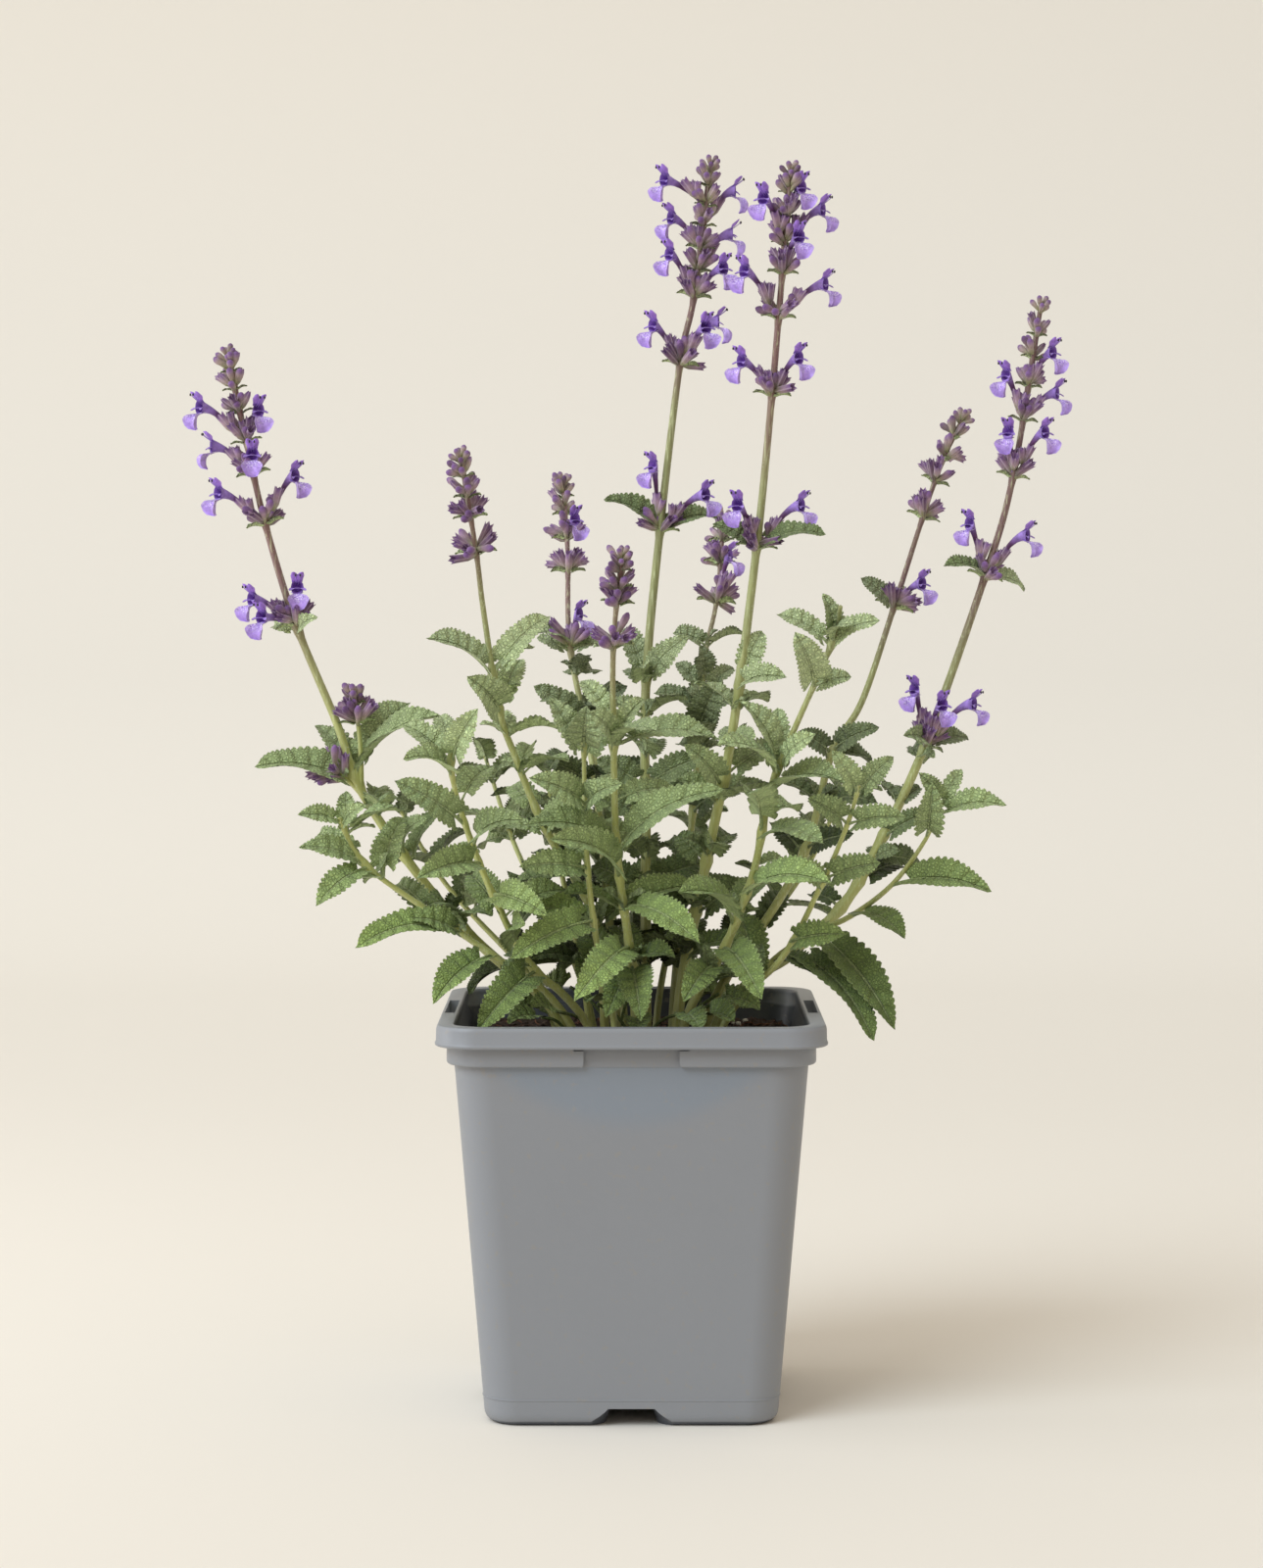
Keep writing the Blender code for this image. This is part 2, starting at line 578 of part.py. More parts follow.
def leaf(base, tip, width, face, stalk, grow=0.0):
    """A toothed blade on a stalk, folded up along its midrib and arched from base to tip.

    The midrib is a parabola from base to tip that bows towards the upper face. The outline's
    points stand off it sideways by their share of the half width, lifted by the fold.
    """
    length = float(np.linalg.norm(tip - base))
    chord = unit(tip - base)
    normal = across(face, chord)
    bend = (base + tip) / 2 + normal * LEAF_ARCH * length
    teeth = FULL_TEETH if width >= WIDE_LEAF else SOME_TEETH if width >= NARROW_LEAF else FEW_TEETH

    def frame(s):
        place = base * (1 - s) ** 2 + bend * 2 * s * (1 - s) + tip * s * s
        along = unit((bend - base) * (1 - s) + (tip - bend) * s)
        lift = across(normal, along)
        return place, along, lift, np.cross(along, lift)

    place, along, lift, side = frame(0.0)
    stalk = stalk + grow
    points = [place - side * stalk, place + lift * stalk, place + side * stalk]
    rib_at = [0.4] if teeth is FEW_TEETH else [0.0, 0.5] if teeth is SOME_TEETH else [0.0, 0.33, 0.68]
    top, under = [], []
    for q in rib_at:
        place, along, lift, side = frame(PETIOLE_SHARE + (1 - PETIOLE_SHARE) * q)
        half = (LEAF_THICK / 2 + grow) * (1.25 - 0.4 * q)
        points += [place + lift * half, place - lift * half]
        top.append(len(points) - 2)
        under.append(len(points) - 1)
    points.append(tip)
    end = len(points) - 1
    faces = [(0, 1, 2), (0, 2, under[0])]
    rib_place = [-0.3, *rib_at, 1.0]
    for sign, root in ((-1, 0), (1, 2)):
        chain, chain_at = [root], [-0.3]
        for q, share in teeth:
            place, along, lift, side = frame(PETIOLE_SHARE + (1 - PETIOLE_SHARE) * q)
            out = max(share * width / 2, 0.7) + grow
            points.append(place + side * sign * out + lift * LEAF_FOLD * out * (share > 0))
            chain.append(len(points) - 1)
            chain_at.append(q)
        chain.append(end)
        chain_at.append(1.0)
        faces += strip(chain, [1, *top, end], chain_at, rib_place)
        faces += strip(chain, [root, *under, end], chain_at, rib_place)
    return np.array(points), faces


def ring_frame(axis):
    first = across(UP if abs(axis[2]) < 0.9 else TO_FRONT, axis)
    return first, np.cross(axis, first)


def calyx(root, axis, length, radius):
    """A ribbed cup that widens from its root to a mouth with four pointed teeth."""
    first, second = ring_frame(axis)
    points = [root, root + axis * length * 0.5]
    for turn in range(4):
        angle = math.radians(45 + 90 * turn)
        out = first * math.cos(angle) + second * math.sin(angle)
        points.append(root + axis * length * 0.66 + out * radius)
        angle += math.radians(45)
        out = first * math.cos(angle) + second * math.sin(angle)
        points.append(root + axis * length + out * radius * 1.15)
    faces = []
    for turn in range(4):
        notch, tooth = 2 + 2 * turn, 3 + 2 * turn
        following = 2 + (2 * turn + 2) % 8
        faces += [(0, following, notch), (notch, following, tooth), (notch, tooth, 1), (tooth, following, 1)]
    return np.array(points), faces


def bud(root, axis, length, radius):
    """A closed bud: widest two thirds of the way up."""
    first, second = ring_frame(axis)
    middle = root + axis * length * 0.62
    points = [root, root + axis * length, middle + first * radius, middle + second * radius,
              middle - first * radius, middle - second * radius]
    faces = []
    for i in range(4):
        a, b = 2 + i, 2 + (i + 1) % 4
        faces += [(0, b, a), (1, a, b)]
    return np.array(points), faces


def flower(root, mouth, grow=0.0):
    """A calyx and the slender tube that leaves it, widening to an open throat with two lips.

    The short upper lip stands up in two lobes and the long lower lip juts out like a spoon.
    """
    axis = unit(mouth - root)
    cup = min(CALYX_LENGTH, 0.6 * float(np.linalg.norm(mouth - root)))
    out = unit((mouth - root) * np.array([1.0, 1.0, 0.0]))
    side = np.cross(UP, out)
    looking = unit(out + 0.35 * UP)
    high = across(UP, looking)
    first = across(UP, axis)
    second = unit(np.cross(axis, first))
    second = second if float(second @ side) > 0 else -second
    points = [root]
    for along, radius in ((0.72, CALYX_RADIUS), (0.95, NECK_RADIUS)):
        ring = root + axis * cup * along
        size = radius + grow
        points += [ring + first * size, ring + second * size, ring - first * size, ring - second * size]
    tall, wide = THROAT_HEIGHT + grow, THROAT_WIDTH + grow
    points += [mouth + high * tall, mouth + side * wide, mouth - high * tall, mouth - side * wide,
               mouth - looking * THROAT_DEPTH]
    jut, rise, spread = UPPER_LIP
    points += [mouth + out * jut + UP * rise + side * spread, mouth + out * jut + UP * rise - side * spread]
    jut, rise, spread = LOWER_LIP_SIDE
    points += [mouth + out * jut + UP * rise + side * spread,
               mouth + out * LOWER_LIP_TIP[0] + UP * LOWER_LIP_TIP[1],
               mouth + out * jut + UP * rise - side * spread]
    faces = []
    for i in range(4):
        j = (i + 1) % 4
        faces.append((0, 1 + j, 1 + i))
        for row in (1, 5):
            faces += [(row + i, row + j, row + 4 + j), (row + i, row + 4 + j, row + 4 + i)]
    faces += [(9, 10, 14), (9, 14, 15), (9, 15, 12), (10, 13, 14), (13, 15, 14), (13, 12, 15)]
    faces += [(10, 11, 16), (11, 17, 16), (11, 18, 17), (11, 12, 18), (10, 16, 13), (16, 17, 13),
              (17, 18, 13), (18, 12, 13)]
    return np.array(points), faces


# Keeping pieces clear of each other


placed = []


def tree_of(points, faces):
    return BVHTree.FromPolygons([tuple(p) for p in points], faces, all_triangles=False)


def put(node, kind, points, faces, root=None):
    points = np.asarray(points, float)
    placed.append({"node": node, "kind": kind, "low": points.min(0), "high": points.max(0),
                   "tree": tree_of(points, faces), "root": root})


def mesh_parts(obj):
    """Points in millimetres and faces of an object."""
    return [v.co / MM for v in obj.data.vertices], [tuple(p.vertices) for p in obj.data.polygons]


def is_clear(node, points, faces, root, near=7.0):
    """True where a piece crosses nothing but the stem that it grows from and what shares its root."""
    low, high = points.min(0), points.max(0)
    over_soil = np.all(np.minimum(np.abs(low[:2]), np.abs(high[:2])) < MOUTH_WIDTH / 2 - 2)
    if over_soil and low[2] < SOIL_TOP + 3.0:
        return False
    tree = None
    for other in placed:
        if np.any(other["low"] > high) or np.any(other["high"] < low):
            continue
        if other["node"] == node:
            if other["kind"] == "stem":
                continue
            if float(np.linalg.norm(other["root"] - root)) < near:
                continue
        if tree is None:
            tree = tree_of(points, faces)
        if tree.overlap(other["tree"]):
            return False
    return True


# Turn, lift and share of the length that are tried in this order until a leaf is clear
LEAF_SWINGS = [(0, 0, 1.0), (10, 0, 1.0), (-10, 0, 1.0), (0, 12, 1.0), (0, -12, 1.0), (20, 0, 1.0),
               (-20, 0, 1.0), (0, 0, 0.85), (14, 14, 0.85), (-14, 14, 0.85), (14, -14, 0.85),
               (-14, -14, 0.85), (32, 8, 0.85), (-32, 8, 0.85), (0, 26, 0.8), (0, -26, 0.8),
               (44, 0, 0.75), (-44, 0, 0.75), (60, 12, 0.65), (-60, 12, 0.65), (0, 0, 0.6)]
CALYX_SWINGS = [(0, 0), (20, 0), (-20, 0), (0, 22), (40, 0), (-40, 0), (0, -22)]


def swung(vector, turn, lift, share):
    """A vector turned about the upright axis, tipped up, and shortened."""
    rotated = Matrix.Rotation(math.radians(turn), 3, "Z") @ Vector(vector)
    level = Vector((rotated.y, -rotated.x, 0))
    if level.length > 1e-6:
        rotated = Matrix.Rotation(math.radians(lift), 3, level.normalized()) @ rotated
    return np.array(rotated) * share


def grow_leaf(node, base, tip, width, face, stem, out):
    """Adds a leaf to a node, swung, tipped or shortened until it is clear. False where nothing clears it."""
    axis, radius = stem
    stalk = min(PETIOLE_THICK, 0.6 * radius)
    for turn, lift, share in LEAF_SWINGS:
        end = base + swung(tip - base, turn, lift, share)
        root = base + across(end - base, axis) * 0.4 * radius
        facing = swung(face, turn, 0, 1.0)
        points, faces = leaf(root, end, width * share, facing, stalk, grow=0.45)
        if is_clear(node, points, faces, base):
            out.append(leaf(root, end, width * share, facing, stalk))
            put(node, "leaf", points, faces, base)
            return True
    return False


def leaf_pose(base, tip, seen_width):
    """Real width and upper face of a leaf that shows this width from the front."""
    length = float(np.linalg.norm(tip - base))
    width = max(seen_width, (0.44 if length > 16 else 0.38) * length * (1 - PETIOLE_SHARE))
    seen = min(0.93, max(0.3, seen_width / width))
    return width, UP * math.sqrt(1 - seen * seen) + TO_FRONT * seen


def add_whorls(node, points, radius, whorls, flowers, out):
    """Calyces in two opposite groups at each whorl, with the open flowers growing from their own.

    Each grows from just inside the stem and is turned until the part beyond its root is clear.
    """
    chance = random.Random(SEED + len(node) + len(points))
    heights = [z for z, _ in whorls]

    def seated(z, way):
        return point_at(points, z) + across(way, direction_at(points, z)) * 0.35 * radius

    def beyond(root, axis, length, wide):
        return bud(root + axis * length * 0.32, axis, length * 0.68, wide)

    open_flowers = [0] * len(whorls)
    for mouth in flowers:
        mouth = np.array(mouth, float)
        z = min(heights, key=lambda h: abs(h - (mouth[2] - 9)))
        open_flowers[heights.index(z)] += 1
        root = seated(z, unit(mouth - point_at(points, z)))
        axis = unit(mouth - root)
        out.append(flower(root, mouth))
        put(node, "flower", *flower(root + axis * 2.5, mouth, 0.4), root)
    for number, (z, count) in enumerate(whorls):
        axis = direction_at(points, z)
        late = number / max(1, len(whorls) - 1)
        first, second = ring_frame(axis)
        length = CALYX_LENGTH * (1 - 0.32 * late)
        shape = bud if late > 0.45 else calyx
        count = min(count, max(2, 4 - open_flowers[number]))
        for i in range(count):
            side = 180 * (i % 2)
            spread = 42 * ((i // 2) - (count / 2 - 1) / 2)
            angle = math.radians(90 + side + spread + 40 * (number % 2) + chance.uniform(-8, 8))
            out_dir = first * math.cos(angle) + second * math.sin(angle)
            heading = unit(out_dir + axis * (0.75 + 0.6 * late + chance.uniform(-0.15, 0.15)))
            wide = CALYX_RADIUS + (BUD_RADIUS - CALYX_RADIUS) * late
            for turn, lift in CALYX_SWINGS:
                way = swung(heading, turn, lift, 1.0)
                root = seated(z, way)
                room = beyond(root, way, length + 0.4, wide + 0.4)
                if is_clear(node, *room, root, near=0.0):
                    out.append(shape(root, way, length, wide))
                    put(node, "flower", *room, root)
                    break
    tip = points[-1]
    heading = direction_at(points, tip[2])
    out.append(bud(tip - heading * (TIP_BUD_LENGTH - 0.2), heading, TIP_BUD_LENGTH, TIP_BUD_RADIUS))


def rule_shoot(foot, heading, reach, height):
    """A shoot that leans out from its foot and turns up, from its heading, reach and top height."""
    angle = math.radians(heading)
    route = []
    for share, rise in ((0.0, 0.0), (0.34, 0.28), (0.72, 0.62), (1.0, 1.0)):
        away = reach * share
        route.append((foot[0] + math.cos(angle) * away, foot[1] + math.sin(angle) * away,
                      SHOOT_FOOT + (height - SHOOT_FOOT) * rise))
    return route


def rule_leaves(points, name):
    """Opposite pairs of leaves up a shoot, each pair turned a right angle from the last and smaller."""
    chance = random.Random(SEED + sum(ord(c) for c in name))
    low, high = 150.0, points[-1][2] - 3
    pairs = 4
    leaves = []
    for pair in range(pairs):
        z = low + (high - low) * pair / (pairs - 1)
        base = point_at(points, z)
        axis = direction_at(points, z)
        first, second = ring_frame(axis)
        length = 26 - 10 * pair / (pairs - 1)
        for side in (0, 180):
            angle = math.radians(90 * (pair % 2) + 45 + side + chance.uniform(-16, 16))
            out = first * math.cos(angle) + second * math.sin(angle)
            heading = unit(out + UP * (0.25 + 0.12 * pair))
            tip = base + heading * length * chance.uniform(0.9, 1.1)
            leaves.append((base, tip, length * 0.42))
    return leaves


def main():
    for obj in list(bpy.data.objects):
        bpy.data.objects.remove(obj)
    collection = new_collection("potted_catmint")
    pot = make_pot(collection)
    put("pot", "pot", *mesh_parts(pot))

    nodes = {}
    feet = []

    def add_tube(node, points, thick_foot, thick_tip, first_z, last_z):
        """Part of a stem between two heights, its thickness falling evenly up the whole stem."""
        radii = CORNER * np.linspace(thick_foot, thick_tip, len(points))
        part = [(p, r) for p, r in zip(points, radii) if first_z < p[2] < last_z]
        if first_z > 0:
            part.insert(0, (point_at(points, first_z), part[0][1]))
        if last_z < points[-1][2]:
            part.append((point_at(points, last_z), part[-1][1]))
        nodes.setdefault(node, {"tubes": [], "repeats": []})["tubes"].append(part)
        return part

    shoots = dict(STEMS)
    for name, (foot, heading, reach, height) in RULE_SHOOTS.items():
        shoots[name] = {"route": rule_shoot(foot, heading, reach, height), "thick": SHOOT_THICK}

    paths = {}
    for name, stem in shoots.items():
        foot = np.array(stem["route"][0], float)
        path = smooth_route(stem["route"], 32.0)
        path.insert(0, np.array([foot[0], foot[1], SOIL_TOP - ROOT_DEPTH]))
        paths[name] = path
        split = stem.get("spike_from")
        green = ("stem_" if split else "") + name
        whole = add_tube(green, path, *stem["thick"], 0, split - GAP / 2 if split else 1e9)
        feet.append(([p for p, _ in whole[:2]], [r for _, r in whole[:2]]))
        if split:
            add_tube("spike_" + name, path, *stem["thick"], split + GAP / 2, 1e9)
        for branch in stem.get("branches", ()):
            branch["path"] = smooth_route(branch["route"], 20.0)
            add_tube(green, branch["path"], *BRANCH_THICK, 0, 1e9)

    scratch = new_collection("scratch", hidden=True)
    for node, data in nodes.items():
        for number, part in enumerate(data["tubes"]):
            obj = tube(node, [p for p, _ in part], [r for _, r in part], scratch)
            wide = tube(node, [p for p, _ in part], [r + 0.35 for _, r in part], scratch)
            put(node, "stem", *mesh_parts(wide))
            remove_object(wide)
            data.setdefault("objects", []).append(obj)

    for name, stem in STEMS.items():
        if "whorls" in stem:
            add_whorls("spike_" + name, paths[name], CORNER * stem["thick"][1], stem["whorls"],
                       stem["flowers"], nodes["spike_" + name]["repeats"])
        for branch in stem.get("branches", ()):
            if "whorls" in branch:
                add_whorls("stem_" + name, branch["path"], CORNER * BRANCH_THICK[1], branch["whorls"],
                           (), nodes["stem_" + name]["repeats"])

    wanted = []
    for name, stem in STEMS.items():
        split = stem.get("spike_from")
        jobs = [(paths[name], leaf_data, stem["thick"]) for leaf_data in stem["leaves"]]
        for branch in stem.get("branches", ()):
            jobs += [(branch["path"], leaf_data, BRANCH_THICK) for leaf_data in branch.get("leaves", ())]
        for path, (z, tip, seen_width), thick in jobs:
            base = point_at(path, z)
            tip = np.array(tip, float)
            node = name if not split else ("spike_" if z > split else "stem_") + name
            width, face = leaf_pose(base, tip, seen_width)
            stem_here = (direction_at(path, z), radius_at(path, thick, z))
            wanted.append((node, base, tip, width, face, stem_here))
    wanted.sort(key=lambda w: -w[3])
    for name in RULE_SHOOTS:
        for base, tip, width in rule_leaves(paths[name], name):
            outward = unit((tip - base) * np.array([1.0, 1.0, 0.0]))
            stem_here = (direction_at(paths[name], base[2]),
                         radius_at(paths[name], SHOOT_THICK, base[2]))
            wanted.append((name, base, tip, width, UP * 0.85 + outward * 0.4, stem_here))
    dropped = 0
    for node, base, tip, width, face, stem_here in wanted:
        if not grow_leaf(node, base, tip, width, face, stem_here, nodes[node]["repeats"]):
            dropped += 1
    print("leaves wanted", len(wanted), "left out", dropped)

    for node, data in nodes.items():
        obj = data["objects"][0]
        obj.name = node
        union = new_collection(node + "_repeats", hidden=True)
        for extra in data["objects"][1:]:
            scratch.objects.unlink(extra)
            union.objects.link(extra)
        for points, faces in data["repeats"]:
            make_object("repeat", points, faces, union)
        combine(obj, union, "UNION", "MANIFOLD")
        bodies = keep_one_body(obj)
        finish(obj, collection, "purple" if node.startswith("spike") else "green")
        print(node, len(obj.data.polygons), "bodies", bodies)
    bpy.data.collections.remove(scratch)
    make_soil(collection, feet)


main()
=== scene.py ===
import json
import math
import random

import bmesh
import bpy
import numpy as np
from mathutils import Matrix, Vector

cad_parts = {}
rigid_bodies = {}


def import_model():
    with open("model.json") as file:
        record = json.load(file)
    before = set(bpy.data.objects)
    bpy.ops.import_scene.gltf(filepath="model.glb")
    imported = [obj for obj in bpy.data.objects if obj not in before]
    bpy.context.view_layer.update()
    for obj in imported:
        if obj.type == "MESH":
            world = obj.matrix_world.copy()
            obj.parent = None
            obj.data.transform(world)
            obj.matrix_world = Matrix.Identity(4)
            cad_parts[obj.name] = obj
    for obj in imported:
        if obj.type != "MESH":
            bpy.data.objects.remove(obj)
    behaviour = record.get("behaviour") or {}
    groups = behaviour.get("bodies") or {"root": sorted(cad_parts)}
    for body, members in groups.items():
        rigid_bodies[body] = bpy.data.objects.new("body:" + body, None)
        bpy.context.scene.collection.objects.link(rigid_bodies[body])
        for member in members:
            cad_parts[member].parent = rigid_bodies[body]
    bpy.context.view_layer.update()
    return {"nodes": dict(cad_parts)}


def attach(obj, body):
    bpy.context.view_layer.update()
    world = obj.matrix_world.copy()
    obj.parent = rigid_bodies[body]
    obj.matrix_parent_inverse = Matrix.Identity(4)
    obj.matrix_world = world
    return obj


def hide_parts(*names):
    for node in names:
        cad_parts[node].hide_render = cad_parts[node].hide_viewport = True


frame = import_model()

mm = 0.001
seed = 11
up = np.array([0.0, 0.0, 1.0])
toFront = np.array([0.0, -1.0, 0.0])

camera = {"place": (0.0, -1.348, 0.2901), "tilt": 86.794, "lens": 89.26}
studio = {"sweepColour": (0.826, 0.782, 0.714), "skyColour": (1.0, 0.905, 0.775), "skyStrength": 0.64,
          "keyPlace": (-1.25, -1.3, 1.8), "keySpread": 38.0, "keyPower": 1.97, "keyColour": (0.79, 0.90, 1.0),
          "leftPlace": (-1.1, 0.05, 0.35), "leftSize": (0.5, 0.9), "leftPower": 4.0,
          "leftColour": (0.97, 0.98, 1.0), "lookAt": (0, 0, 0.2), "paperFade": 0.052, "farFade": 0.065,
          "paperShade": ((0.0, 1.0), (0.9, 1.03), (0.2, 0.93), (0.5, 0.96))}

